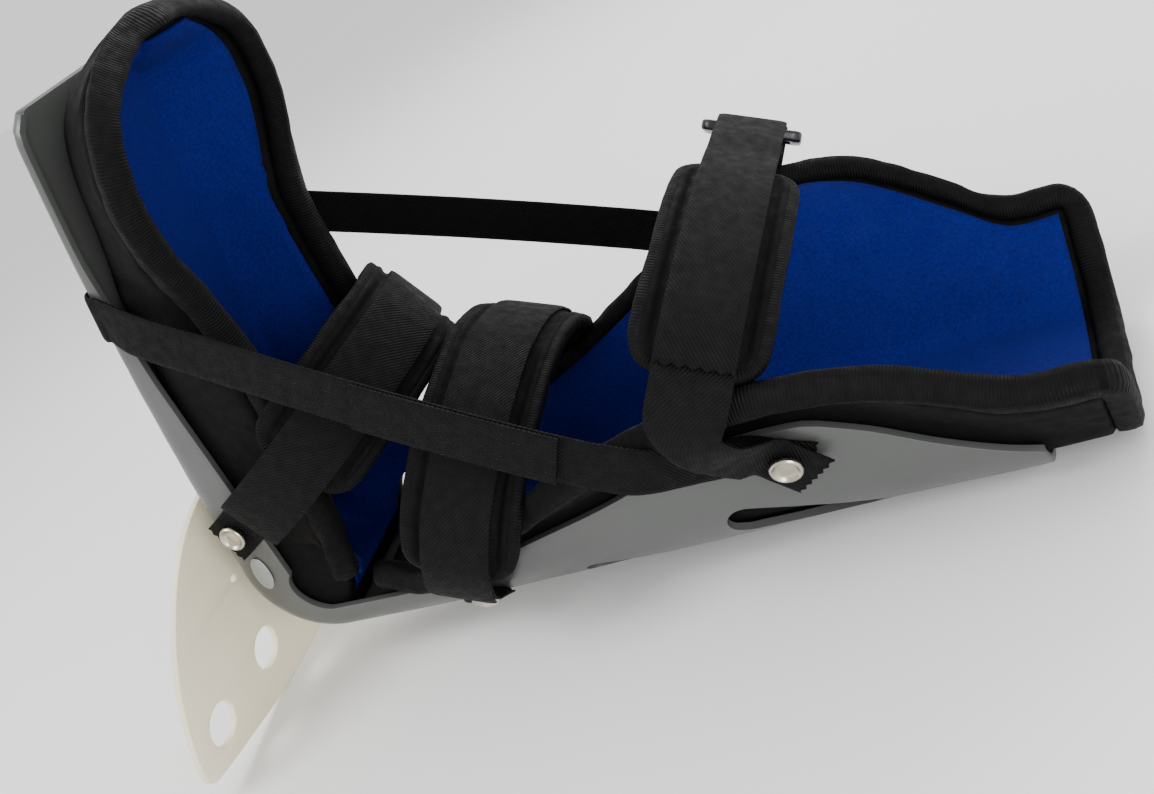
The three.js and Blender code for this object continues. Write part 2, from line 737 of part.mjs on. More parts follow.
// Straps. Each stands in a plane of its own: rise is the way up in the side view, and the
// rows give out as a share of the arch's half width and up as a share of its rise.
function archPlace(base, rise, up) {
  return base.clone().addScaledVector(rise, up);
}

// Rows of a strap that hug the shell's wall from below the rivet to the rim
function wallRows(base, rise, steps, sectionAt, across, width, outward) {
  return steps.map((step) => {
    const place = archPlace(base, rise, step);
    const { section, height, inward } = sectionAt(place);
    const spot = wallSpot(section, height);
    const clear = outward + wallSlack;
    const side = place.clone().addScaledVector(inward, spot.facing[1] * clear);
    return {
      point: new THREE.Vector3(side.x, -(spot.out + spot.facing[0] * clear), side.y),
      across: alongWall(place, across, sectionAt),
      width,
    };
  });
}

// A direction of the side view, laid into the near wall's outer face
function alongWall(place, direction, sectionAt) {
  const flat = new THREE.Vector2(direction.x, direction.z);
  const outAt = (spot) => {
    const { section, height } = sectionAt(spot);
    return wallSpot(section, height).out;
  };
  const ahead = outAt(place.clone().add(flat));
  const behind = outAt(place.clone().sub(flat));
  return new THREE.Vector3(flat.x, (behind - ahead) / 2, flat.y).normalize();
}

function onSoleWall(place) {
  return { section: soleSection(place.dot(sole)), height: place.dot(lift), inward: lift };
}

function onCalfWall(place) {
  return { section: calfSection(place.x), height: place.y, inward: upright };
}

function archRows(base, rise, across, table, height, halfWidth, width) {
  return table.map((row) => {
    const place = archPlace(base, rise, row.up * height);
    const point = new THREE.Vector3(place.x, -row.out * halfWidth, place.y);
    return { point, across: across.clone(), width };
  });
}

// Way up of an arch that leans by an angle from the calf's line, in degrees
function leaning(angle) {
  return new THREE.Vector2(Math.cos(angle * degrees), Math.sin(angle * degrees));
}

function acrossRise(rise) {
  return new THREE.Vector3(rise.y, 0, -rise.x);
}

const footArchTable = [
  { up: 0.30, out: 0.95 }, { up: 0.46, out: 1.00 }, { up: 0.63, out: 0.95 },
  { up: 0.80, out: 0.77 }, { up: 0.93, out: 0.46 }, { up: 1.00, out: 0.00 },
];
const ankleArchTable = [
  { up: 0.075, out: 0.636 }, { up: 0.14, out: 0.75 }, { up: 0.24, out: 0.91 },
  { up: 0.37, out: 0.99 }, { up: 0.50, out: 1.00 }, { up: 0.66, out: 0.93 },
  { up: 0.81, out: 0.73 }, { up: 0.93, out: 0.43 }, { up: 1.00, out: 0.00 },
];
const footRivet = { at: 0.281, up: 15 };          // share of the sole length, height on the flange
const ankleRivet = { at: 0.354, up: 9 };          // share of the calf length
const calfRivet = { at: 0.779, up: 49 };
const footLean = 26;                              // degrees, of each strap's plane
const ankleLean = 62.7;
const calfLean = 59.5;
const padFrom = 0.3;                              // a strap's padding starts at this share
// Rows of webbing on a wall, in millimetres up from the rivet
const footWallSteps = [-tailLength, 0, 11];
const ankleWallSteps = [-0.8 * tailLength, -3, 1, 4];
const calfWallSteps = [-1.33 * tailLength, 0, 5.5];
const tensionWallSteps = [-tailLength, 0, 6];

const footBase = onSole(footRivet.at * soleLength, footRivet.up);
const ankleBase = onCalf(ankleRivet.at * calfLength, ankleRivet.up);
const calfBase = onCalf(calfRivet.at * calfLength, calfRivet.up);

// The whole path of a strap from its near rows, with its padding under the arch
function paddedStrap(name, near) {
  const path = smoothPath([...near, ...mirrored(near).slice(1)], 2);
  const padPath = movedIn(stretch(path, padFrom, 1 - padFrom), strapSeat, strapPadWidth);
  addPiece(`${name}_strap_pad`, band(padPath, strapPadThickness), finishes.fabric);
  return path;
}

// Rivets: domed cap outside, shank through the webbing and the shell's wall
function rivetAt(section, height, side, floor, inward, layers) {
  const spot = wallSpot(section, height);
  const down = inward.clone().multiplyScalar(spot.facing[1]);
  const facing = new THREE.Vector3(down.x, side * spot.facing[0], down.y).normalize();
  const place = floor.clone().addScaledVector(inward, height);
  const centre = new THREE.Vector3(place.x, side * spot.out, place.y);
  return { centre, facing, head: 2 * seatGap + wallSlack + layers * stackStep };
}

function turned(geometry, facing, centre) {
  const turn = new THREE.Quaternion().setFromUnitVectors(new THREE.Vector3(0, 1, 0), facing);
  geometry.applyQuaternion(turn);
  geometry.translate(centre.x, centre.y, centre.z);
  return geometry;
}

// Cap of a rivet: out as a share of its radius, up as a share of its dome
const capRows = [
  { out: 1.00, up: 0.00 }, { out: 1.00, up: 0.35 }, { out: 0.84, up: 0.80 },
  { out: 0.50, up: 1.00 }, { out: 0.00, up: 1.00 },
];
const rivetSides = 8;
const holeSides = 6;

function rivetSolid({ centre, facing, head }) {
  const inside = -shellWall + seatGap;
  const shank = rivetShank / 2;
  const profile = [[0, inside], [shank, inside], [shank, head]]
    .concat(capRows.map((row) => [row.out * rivetCap / 2, head + row.up * rivetDome]))
    .map(([x, y]) => new THREE.Vector2(x, y));
  return turned(new THREE.LatheGeometry(profile, rivetSides), facing, centre);
}

function rivetHole({ centre, facing }) {
  const radius = rivetShank / 2 + 2 * holeClearance;
  return turned(new THREE.CylinderGeometry(radius, radius, toolDepth, holeSides), facing, centre);
}

const rivets = {};
for (const side of [-1, 1]) {
  const end = side < 0 ? 'near' : 'far';
  const soleAlong = footRivet.at * soleLength;
  const ankleAlong = ankleRivet.at * calfLength;
  const calfAlong = calfRivet.at * calfLength;
  rivets[`forefoot_rivet_${end}`] = rivetAt(
    soleSection(soleAlong), footRivet.up, side, onSole(soleAlong, 0), lift, 1);
  rivets[`ankle_rivet_${end}`] = rivetAt(
    calfSection(ankleAlong), ankleRivet.up, side, onCalf(ankleAlong, 0), upright, 1);
  rivets[`calf_rivet_${end}`] = rivetAt(
    calfSection(calfAlong), calfRivet.up, side, onCalf(calfAlong, 0), upright, 2);
}
for (const [name, rivet] of Object.entries(rivets)) {
  addPiece(name, rivetSolid(rivet), finishes.rivet);
}

function holes(kind) {
  return [rivetHole(rivets[`${kind}_rivet_near`]), rivetHole(rivets[`${kind}_rivet_far`])];
}

const footRise = leaning(footLean);
const footAcross = acrossRise(footRise);
const footPath = paddedStrap('forefoot', [
  ...wallRows(footBase, footRise, footWallSteps, onSoleWall, footAcross, anchorWidth, stackLift),
  ...archRows(footBase, footRise, footAcross, footArchTable, footArchRise,
    footArchHalfWidth, strapWidth),
]);
addPiece('forefoot_strap_webbing', cut(band(footPath, webbing), holes('forefoot')),
  finishes.webbing);

const ankleRise = leaning(ankleLean);
const anklePath = paddedStrap('ankle', [
  ...wallRows(ankleBase, ankleRise, ankleWallSteps, onCalfWall, calfLine, anchorWidth, stackLift),
  ...archRows(ankleBase, ankleRise, acrossRise(ankleRise), ankleArchTable, ankleArchRise,
    ankleArchHalfWidth, strapWidth),
]);
addPiece('ankle_strap_webbing', cut(band(anklePath, webbing), holes('ankle')), finishes.webbing);

addPiece('shell', cut(solidBetween(shellOuter, shellInner), [
  ...windows, ...holes('forefoot'), ...holes('ankle'), ...holes('calf')]), finishes.shell);

// Calf strap: the near webbing leaves the wall, turns over the liner's flared rim, arches over
// the calf trough and folds back round a loop; the far webbing comes up and folds round it too
const calfRise = leaning(calfLean);
const calfAcross = acrossRise(calfRise);
const calfTop = onCalf(0.796 * calfLength, calfArchHeight);
const calfAnchorLean = 125.5;      // degrees, of the webbing between its rivet and the rim
const calfArchTable = [
  { up: 0.00, out: 1.00 }, { up: 0.30, out: 0.96 }, { up: 0.58, out: 0.81 },
  { up: 0.80, out: 0.57 }, { up: 0.95, out: 0.28 }, { up: 1.00, out: 0.00 },
];
const calfAnchorRise = leaning(calfAnchorLean);
const calfAnchorAcross = acrossRise(calfAnchorRise);
const calfTurnRows = [             // shares of the calf length, rim height and arch half width
  { at: 0.762, up: 0.72, out: 0.79 },
  { at: 0.752, up: 0.80, out: 0.87 },
  { at: 0.741, up: 0.90, out: 0.955 },
  { at: 0.733, up: 1.00, out: 0.99 },
];

function calfStrapRows() {
  const wall = wallRows(calfBase, calfAnchorRise, calfWallSteps, onCalfWall,
    calfAnchorAcross, anchorWidth, stackLift + stackStep);
  const turn = calfTurnRows.map((row, i) => ({
    point: rimSpot(row),
    across: calfAnchorAcross.clone().lerp(calfAcross, i / calfTurnRows.length).normalize(),
    width: anchorWidth,
  }));
  const start = archPlace(calfTop, calfRise, -calfArchRise);
  const arch = archRows(start, calfRise, calfAcross, calfArchTable, calfArchRise,
    calfArchHalfWidth, strapWidth);
  return [...wall, ...turn, ...arch];
}

// Near place of a row that states shares of the calf length, rim height and arch half width
function rimSpot(row) {
  const out = -row.out * calfArchHalfWidth;
  return new THREE.Vector3(row.at * calfLength, out, row.up * cuffRimHeight);
}

// Frame of a path at one of its rows: the way along, across and outwards
function pathFrame(path, i) {
  const before = path[Math.max(i - 1, 0)].point;
  const after = path[Math.min(i + 1, path.length - 1)].point;
  const along = after.clone().sub(before).normalize();
  const across = squared(path[i].across, along);
  return { along, across, out: across.clone().cross(along).normalize() };
}

const foldSteps = 6;

// The path goes on round a bar that lies outside it, and comes back over itself
function foldedBack(path, radius, backRows) {
  const last = path.length - 1;
  const { along, out } = pathFrame(path, last);
  const end = path[last];
  const centre = end.point.clone().addScaledVector(out, radius);
  const result = [...path];
  for (let i = 1; i <= foldSteps; i += 1) {
    const turn = Math.PI * i / foldSteps;
    result.push({
      point: centre.clone()
        .addScaledVector(out, -radius * Math.cos(turn))
        .addScaledVector(along, Math.abs(radius) * Math.sin(turn)),
      across: end.across.clone(),
      width: end.width,
    });
  }
  for (let i = 1; i <= backRows; i += 1) {
    const frame = pathFrame(path, last - i);
    const share = Math.min(i / (backRows - 1), 1);
    const rest = Math.sign(radius) * (stackStep + seatGap);
    const raised = THREE.MathUtils.lerp(2 * radius, rest, share);
    const point = path[last - i].point.clone().addScaledVector(frame.out, raised);
    result.push({ ...path[last - i], point });
  }
  return { path: result, centre, out };
}

const wrapRadius = Math.hypot(loopBar, loopThickness) / 2 + webbing / 2 + 2 * seatGap;
const calfPathSteps = 3;
const calfPadBefore = 10;          // path rows of its padding before the middle
const calfPadPast = 3;             // and past it
const loopStart = 56;              // the near webbing folds this far past the middle
const nearFoldRows = 5;
const farFoldRows = 4;
const calfNear = calfStrapRows();
const calfPath = smoothPath([...calfNear, ...mirrored(calfNear).slice(1)], calfPathSteps);
const calfMiddle = (calfPath.length - 1) / 2;
const calfPadPath = calfPath.slice(calfMiddle - calfPadBefore,
  calfMiddle + calfPadPast);
addPiece('calf_strap_pad', band(movedIn(calfPadPath, strapSeat, strapPadWidth), strapPadThickness),
  finishes.fabric);
const loopRow = calfPath.findIndex((row, i) => i > calfMiddle && row.point.y > loopStart);
const otherRow = calfPath.findIndex((row, i) => (
  i > loopRow && row.point.distanceTo(calfPath[loopRow].point) > loopSpan));
const nearFold = foldedBack(calfPath.slice(0, loopRow + 1), wrapRadius, nearFoldRows);
const farFold = foldedBack(calfPath.slice(otherRow).reverse(), -wrapRadius, farFoldRows);
addPiece('calf_strap_webbing', cut(band(nearFold.path, webbing), holes('calf')), finishes.webbing);
addPiece('calf_strap_anchor', cut(band(farFold.path, webbing), holes('calf')), finishes.webbing);

// Draws a rectangle with rounded corners into a shape or a hole
function roundedFrame(shape, halfLong, halfAcross, round) {
  shape.moveTo(-halfLong + round, -halfAcross);
  shape.lineTo(halfLong - round, -halfAcross);
  shape.quadraticCurveTo(halfLong, -halfAcross, halfLong, -halfAcross + round);
  shape.lineTo(halfLong, halfAcross - round);
  shape.quadraticCurveTo(halfLong, halfAcross, halfLong - round, halfAcross);
  shape.lineTo(-halfLong + round, halfAcross);
  shape.quadraticCurveTo(-halfLong, halfAcross, -halfLong, halfAcross - round);
  shape.lineTo(-halfLong, -halfAcross + round);
  shape.quadraticCurveTo(-halfLong, -halfAcross, -halfLong + round, -halfAcross);
  return shape;
}

function loopSolid() {
  const between = farFold.centre.clone().sub(nearFold.centre);
  const along = between.clone().normalize();
  const across = calfAcross.clone();
  const out = along.clone().cross(across).normalize();
  const span = between.length();
  const outline = roundedFrame(new THREE.Shape(), (span + loopBar) / 2, loopLength / 2,
    loopCorner);
  outline.holes.push(roundedFrame(new THREE.Path(), (span - loopBar) / 2,
    loopLength / 2 - loopBar, loopSlotCorner));
  const solid = new THREE.ExtrudeGeometry(outline, {
    depth: loopThickness, bevelEnabled: false, curveSegments: 3,
  });
  solid.translate(0, 0, -loopThickness / 2);
  const middle = nearFold.centre.clone().add(farFold.centre).multiplyScalar(0.5);
  solid.applyMatrix4(new THREE.Matrix4().makeBasis(along, across, out).setPosition(middle));
  return solid;
}
addPiece('calf_strap_loop', loopSolid(), finishes.loop);

// Tension band: from rivet to rivet round the outside of the sole
const tensionRows = [              // shares of the calf length, rim height and arch half width
  { at: 0.748, up: 0.705, out: 0.727 },
  { at: 0.700, up: 0.82, out: 0.842 },
  { at: 0.652, up: 0.94, out: 0.930 },
];
const tensionRimRows = [           // past the foot liner's wing: shares of the band's height on
  { at: 0.947, up: 0.76, out: 0.944 }, // the sole, the wing's height and the rim's half width
  { at: 0.984, up: 0.29, out: 0.839 },
];
const cornerTurns = [90, 60, 30, 0];  // degrees, round each corner of the sole
const cornerSlack = 0.4;

function tensionPath() {
  const corner = soleSection(tensionHeight);
  const walk = onSole(tensionHeight, 0).sub(calfBase).normalize();
  const runAcross = new THREE.Vector3(walk.y, 0, -walk.x).normalize();
  const wall = wallRows(calfBase, walk, tensionWallSteps, onCalfWall, runAcross,
    tensionWidth, stackLift);
  const rowAt = (place, out, across) => (
    { point: new THREE.Vector3(place.x, -out, place.y), across, width: tensionWidth });
  const free = tensionRows.map((row, i) => ({
    point: rimSpot(row),
    across: wall[2].across.clone().lerp(runAcross, i / (tensionRows.length - 1)),
    width: tensionWidth,
  }));
  for (const row of tensionRimRows) {
    const rim = onSole(row.at * tensionHeight, row.up * footWingHeight);
    free.push(rowAt(rim, row.out * footRimHalfWidth, runAcross));
  }
  const radius = corner.round + stackLift + wallSlack;
  const round = cornerTurns.map((turn) => {
    const out = corner.half - corner.round + radius * Math.sin(turn * degrees) + cornerSlack;
    const place = onSole(tensionHeight, corner.round - radius * Math.cos(turn * degrees));
    return rowAt(place, out, soleLine);
  });
  const back = onSole(tensionHeight, -(stackLift + wallSlack));
  const near = [...wall, ...free, ...round, rowAt(back, corner.half / 2, soleLine)];
  return smoothPath([...near, rowAt(back, 0, soleLine), ...mirrored(near)], 2);
}
addPiece('tension_strap', cut(band(tensionPath(), webbing), holes('calf')), finishes.webbing);

// Stabiliser plate behind the heel. up is a share of plateTop above the heel corner and of
// plateBottom below it, out a share of the half width.
const plateRows = [
  { up: 1.00, out: 0.20 }, { up: 0.94, out: 0.39 }, { up: 0.86, out: 0.51 },
  { up: 0.75, out: 0.63 }, { up: 0.62, out: 0.73 }, { up: 0.48, out: 0.82 },
  { up: 0.30, out: 0.90 }, { up: 0.12, out: 0.955 }, { up: -0.20, out: 0.995 },
  { up: -0.46, out: 1.00 }, { up: -0.60, out: 0.985 }, { up: -0.70, out: 0.93 },
  { up: -0.84, out: 0.62 }, { up: -1.00, out: 0.30 },
];

function roundPath(x, y, radius, sides) {
  const points = [];
  for (let i = 0; i < sides; i += 1) {
    const turn = -2 * Math.PI * i / sides;
    points.push(new THREE.Vector2(x + radius * Math.cos(turn), y + radius * Math.sin(turn)));
  }
  return new THREE.Path(points);
}

function plateSolid() {
  const half = plateRows.map((row) => new THREE.Vector2(
    row.out * plateHalfWidth, row.up > 0 ? row.up * plateTop : -row.up * plateBottom));
  const other = half.map((spot) => new THREE.Vector2(-spot.x, spot.y));
  const outline = new THREE.Shape([...other, ...half.reverse()]);
  for (const out of [plateHoleInner, plateHoleOuter]) {
    for (const side of [-1, 1]) {
      outline.holes.push(roundPath(side * out, plateHoleHeight, plateHole / 2, 20));
    }
  }
  for (const side of [-1, 1]) {
    outline.holes.push(roundPath(side * plateHoleInner, pilotHeight, pilotHole / 2, 8));
  }
  const solid = new THREE.ExtrudeGeometry(outline, {
    depth: plateWall, bevelEnabled: false, curveSegments: 1,
  });
  const across = new THREE.Vector3(0, 1, 0);
  const out = across.clone().cross(soleLine);
  const corner = onSole(0, -plateGap - plateWall);
  solid.applyMatrix4(new THREE.Matrix4().makeBasis(across, soleLine, out)
    .setPosition(new THREE.Vector3(corner.x, 0, corner.y)));
  return solid;
}
addPiece('stabiliser_plate', plateSolid(), finishes.plate);

for (const side of [-1, 1]) {
  const radius = spacerDiameter / 2;
  const length = plateGap - 2 * seatGap;
  const middle = onSole(spacerHeight, -plateGap / 2);
  const facing = new THREE.Vector3(lift.x, 0, lift.y);
  addPiece(`plate_spacer_${side < 0 ? 'near' : 'far'}`, turned(
    new THREE.CylinderGeometry(radius, radius, length, 24), facing,
    new THREE.Vector3(middle.x, side * spacerOffset, middle.y)), finishes.shell);
}

// Blank oval label on the near flange by the heel
function labelSolid() {
  const points = [];
  const sides = 20;
  for (let i = 0; i < sides; i += 1) {
    const turn = 2 * Math.PI * i / sides;
    points.push(new THREE.Vector2(Math.cos(turn) * labelLength / 2, Math.sin(turn) * labelWidth / 2));
  }
  const solid = new THREE.ExtrudeGeometry(new THREE.Shape(points), {
    depth: labelThickness, bevelEnabled: false,
  });
  const section = soleSection(labelPlace.along);
  const spot = wallSpot(section, labelPlace.up);
  const place = onSole(labelPlace.along, labelPlace.up);
  const along = alongWall(place, soleLine, onSoleWall);
  const up = alongWall(place, new THREE.Vector3(lift.x, 0, lift.y), onSoleWall);
  const facing = along.clone().cross(up).normalize();
  if (facing.y > 0) facing.negate();
  const centre = new THREE.Vector3(place.x, -spot.out, place.y).addScaledVector(facing, 2 * seatGap);
  solid.applyMatrix4(new THREE.Matrix4()
    .makeBasis(along, facing.clone().cross(along), facing).setPosition(centre));
  return solid;
}
addPiece('side_label', labelSolid(), finishes.label);

// The layout is turned so that the plate's edge and the knee end of the shell both rest
const restCorner = onSole(plateBottom, -plateGap);
const restTilt = Math.atan2(-restCorner.y, calfLength - restCorner.x);
splint.rotation.y = restTilt;
const part = new THREE.Group();
part.add(splint);
part.updateMatrixWorld(true);
const box = new THREE.Box3().setFromObject(part, true);
splint.position.set(-(box.min.x + box.max.x) / 2, 0, -box.min.z);
export default part;
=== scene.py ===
# %% [markdown]
# # A plantar fasciitis night splint
# A stiff plastic trough, worn overnight, has a sole part and a calf part at a set angle. Two
# padded liners sit in it, three padded straps and a tension strap close it, and a flat plate
# behind the heel keeps it upright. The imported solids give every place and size. Here each
# piece gets its real surface: moulded plastic, padded fabric, twill webbing and metal caps.

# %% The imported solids
import math
from bisect import bisect
import bpy
import bmesh
import numpy as np
from mathutils import Matrix, Vector, noise
from mathutils.bvhtree import BVHTree


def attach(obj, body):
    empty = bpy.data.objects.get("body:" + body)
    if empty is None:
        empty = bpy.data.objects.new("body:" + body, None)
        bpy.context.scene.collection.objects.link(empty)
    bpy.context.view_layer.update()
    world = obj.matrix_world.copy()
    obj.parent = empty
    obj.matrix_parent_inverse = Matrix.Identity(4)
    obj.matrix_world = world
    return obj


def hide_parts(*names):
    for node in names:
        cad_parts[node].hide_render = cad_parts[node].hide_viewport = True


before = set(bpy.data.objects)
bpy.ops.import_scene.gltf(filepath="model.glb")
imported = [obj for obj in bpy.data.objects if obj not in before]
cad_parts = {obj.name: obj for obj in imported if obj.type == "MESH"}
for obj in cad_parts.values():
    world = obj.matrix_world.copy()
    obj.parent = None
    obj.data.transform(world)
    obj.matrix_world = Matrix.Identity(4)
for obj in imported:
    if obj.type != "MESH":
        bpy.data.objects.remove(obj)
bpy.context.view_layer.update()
print("solids", len(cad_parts))

# %% [markdown]
# ## Camera
# The camera stands where the photograph was taken from, found by fitting the splint's own
# corners to the picture. A lens of about 40 mm this close gives the strong perspective. The
# splint is turned in the picture because it rests on the floor here.

# %% Camera
camera_data = bpy.data.cameras.new("photo_camera")
camera_data.sensor_width = 36
camera_data.lens = 40.31
camera_right = Vector((0.824095, 0.217100, -0.523200))
camera_ahead = Vector((-0.459947, 0.795560, -0.394363))
camera_up = camera_right.cross(camera_ahead).normalized()
camera = bpy.data.objects.new("photo_camera", camera_data)
bpy.context.scene.collection.objects.link(camera)
camera.matrix_world = Matrix((
    (camera_right.x, camera_up.x, -camera_ahead.x, 0.25239),
    (camera_right.y, camera_up.y, -camera_ahead.y, -0.42233),
    (camera_right.z, camera_up.z, -camera_ahead.z, 0.28500),
    (0, 0, 0, 1)))
camera_data.clip_start = 0.01
bpy.context.scene.camera = camera
print("lens", camera_data.lens)

# %% [markdown]
# ## Sizes
# These are the named sizes of the solids, in millimetres. The trough is laid out with the calf
# part along X and the sole rising from the heel corner, and is then tilted so that it rests.

# %% Sizes
sole_length, calf_length, ankle_angle, heel_radius = 270, 362, math.radians(75.6), 38
shell_wall, toe_half, cuff_half, heel_wall, cuff_wall = 3, 45, 50, 30, 62
gap, pad_thickness, lining_thickness = 0.3, 8, 1.2
binding_width, binding_height, binding_seat = 11, 8, 1.2
foot_wing, foot_rim, toe_oval, cuff_rim, cuff_rim_half = 55, 62, 40, 80, 81
webbing, strap_width, anchor_width, pad_width, pad_depth = 1.6, 27, 21, 43, 7
tension_width, tension_height, tail, wall_slack = 20, 188, 9, 0.45
stack_lift, stack_step = gap + webbing / 2, webbing + 2 * gap
strap_seat = webbing / 2 + 2 * gap + pad_depth / 2
calf_arch_half = 92
sole = np.array([math.cos(ankle_angle), math.sin(ankle_angle)])
lift = np.array([sole[1], -sole[0]])
upright = np.array([0.0, 1.0])
bend_centre = np.array([heel_radius / math.tan(ankle_angle / 2), heel_radius])
bend_start = bend_centre[0]
rest_tilt = 0.08239542
rest_shift = np.array([-185.5225, 0, 29.7934])


def on_sole(along, above):
    return sole * along + lift * above


def spot(side, out):
    """A point from its place in the side view and its distance from the middle plane."""
    return np.array([side[0], out, side[1]])


def placed(points):
    """Laid-out millimetres to metres where the splint rests."""
    p = np.asarray(points, float).reshape(-1, 3)
    c, s = math.cos(rest_tilt), math.sin(rest_tilt)
    turned = np.stack([p[:, 0] * c + p[:, 2] * s, p[:, 1], p[:, 2] * c - p[:, 0] * s], 1)
    return (turned + rest_shift) / 1000


def placed_way(way):
    """A direction of the layout where the splint rests."""
    return Vector(placed([way])[0] - placed([[0, 0, 0]])[0]).normalized()


def unit(v):
    return v / np.maximum(np.linalg.norm(v, axis=-1, keepdims=True), 1e-9)


print("heel corner at", placed([[0, 0, 0]])[0].round(4))

# %% [markdown]
# ## Finishes
# Each finish is made of nodes: a colour that varies a little, a roughness that varies with it,
# and a bump for the grain or weave. Pictures of cloth would be quicker, but noises and waves
# have no seams and any scale. Woven goods take their pattern from the piece's own length and
# width, kept as a UV map in metres, so the twill runs along every strap.


# %% Helpers for finishes
class Finish:
    """A material with its shader and a few short ways to add nodes."""

    def __init__(self, name, colour, roughness, **inputs):
        self.material = bpy.data.materials.new(name)
        self.material.use_nodes = True
        self.tree = self.material.node_tree
        self.shader = self.tree.nodes["Principled BSDF"]
        self.shader.inputs["Base Color"].default_value = (*colour, 1)
        self.shader.inputs["Roughness"].default_value = roughness
        for key, value in inputs.items():
            self.shader.inputs[key.replace("_", " ")].default_value = value
        self.colour = colour
        self.heights = []

    def node(self, kind, links=(), **values):
        made = self.tree.nodes.new("ShaderNode" + kind)
        for key, value in values.items():
            if key in made.inputs:
                made.inputs[key].default_value = value
            else:
                setattr(made, key, value)
        for key, source in dict(links).items():
            self.tree.links.new(source, made.inputs[key])
        return made

    def where(self, kind="Object", scale=(1, 1, 1), turn=0.0):
        start = self.node("TexCoord").outputs[kind]
        mapping = self.node("Mapping", {"Vector": start})
        mapping.inputs["Scale"].default_value = scale
        mapping.inputs["Rotation"].default_value = (0, 0, turn)
        return mapping.outputs["Vector"]

    def noise(self, scale, detail=3.0, at=None):
        links = {"Vector": at or self.where()}
        return self.node("TexNoise", links, Scale=scale, Detail=detail).outputs["Fac"]

    def ribs(self, scale, at, wander):
        """Bands across the first axis: scale is about 0.314 over their spacing in metres."""
        waves = self.node("TexWave", {"Vector": at}, Scale=scale, Distortion=wander)
        waves.inputs["Detail Scale"].default_value = 1.5
        return waves.outputs["Fac"]

    def math(self, operation, first, second):
        made = self.node("Math", {0: first}, operation=operation)
        if isinstance(second, (int, float)):
            made.inputs[1].default_value = second
        else:
            self.tree.links.new(second, made.inputs[1])
        return made.outputs[0]

    def between(self, source, low, high):
        made = self.node("MapRange", {"Value": source})
        made.inputs["From Min"].default_value = 0.3
        made.inputs["From Max"].default_value = 0.7
        made.inputs["To Min"].default_value = low
        made.inputs["To Max"].default_value = high
        return made.outputs["Result"]

    def tint(self, source, darker, lighter):
        """Colour that goes from darker to lighter, as shares of the base colour."""
        ramp = self.node("ValToRGB", {"Fac": source})
        for element, share, at in zip(ramp.color_ramp.elements, (darker, lighter), (0.3, 0.7)):
            element.color = (*(min(c * share, 1) for c in self.colour), 1)
            element.position = at
        self.tree.links.new(ramp.outputs["Color"], self.shader.inputs["Base Color"])

    def rough(self, source, low, high):
        self.tree.links.new(self.between(source, low, high), self.shader.inputs["Roughness"])

    def bump(self, source, distance, strength=1.0):
        links = {"Height": source}
        if self.heights:
            links["Normal"] = self.heights[-1]
        made = self.node("Bump", links, Distance=distance, Strength=strength)
        self.heights.append(made.outputs["Normal"])
        self.tree.links.new(made.outputs["Normal"], self.shader.inputs["Normal"])


def finish(name, colour, roughness, tint, rough, *bumps, **inputs):
    """A finish made of noises. Tint and rough give scale, detail, low and high, and each bump
    gives scale, detail, distance and strength."""
    made = Finish(name, colour, roughness, **inputs)
    if tint:
        made.tint(made.noise(*tint[:2]), *tint[2:])
    made.rough(made.noise(*rough[:2]), *rough[2:])
    for bump in bumps:
        made.bump(made.noise(*bump[:2]), *bump[2:])
    return made


print("finish helpers ready")

# %% [markdown]
# ## Plastics and metal
# The shell is satin grey plastic with the slight ripple of a moulded sheet and a fine grain.
# The plate is smoother and ivory. The rivet caps are nickel, the loop is black plastic. All of
# them could be one shader with other colours, but each has a grain of its own size.

# %% Plastics and metal
shell_finish = finish("moulded_grey", (0.056, 0.059, 0.056), 0.4, (14, 4, 0.93, 1.07),
                      (60, 3, 0.32, 0.42), (30, 1, 0.0005, 0.25), (640, 2, 0.00003, 0.3),
                      Coat_Weight=0.12, Coat_Roughness=0.2)
plate_finish = finish("ivory_sheet", (0.80, 0.73, 0.54), 0.4, (22, 5, 0.95, 1.04),
                      (120, 4, 0.34, 0.5), (700, 2, 0.00003, 0.4), Coat_Weight=0.1)
rivet_finish = finish("nickel", (0.47, 0.435, 0.36), 0.28, (300, 3, 0.85, 1.1),
                      (900, 4, 0.15, 0.34), (1500, 3, 0.00004, 0.5), Metallic=1.0)
loop_finish = finish("black_plastic", (0.006, 0.006, 0.007), 0.34, (120, 3, 0.8, 1.3),
                     (500, 3, 0.26, 0.42), (1600, 2, 0.00003, 0.5), Specular_IOR_Level=0.4)
label_finish = finish("silver_label", (0.30, 0.31, 0.32), 0.32, (400, 3, 0.92, 1.06),
                      (800, 3, 0.28, 0.42), Metallic=0.7)
print("plastics and metal made")

# %% [markdown]
# ## Fabrics
# The pads are a smooth charcoal knit over foam, so their weave is very fine. The binding is a
# ribbed tape. The lining is a brushed royal blue knit with a soft pile. The webbing is a twill,
# with a diagonal rib about a millimetre apart and a row of stitches along each edge. Threads
# could be modelled one by one, but at this scale a bump from wave bands looks the same.

# %% Fabrics
pad_finish = finish("charcoal_knit", (0.0018, 0.0018, 0.0021), 0.8, (35, 5, 0.8, 1.35),
                    (200, 3, 0.66, 0.86), (130, 4, 0.0007, 0.5), Specular_IOR_Level=0.085)
pad_cells = pad_finish.node("TexVoronoi", {"Vector": pad_finish.where()}, Scale=1300)
pad_finish.bump(pad_cells.outputs["Distance"], 0.00018, 0.8)

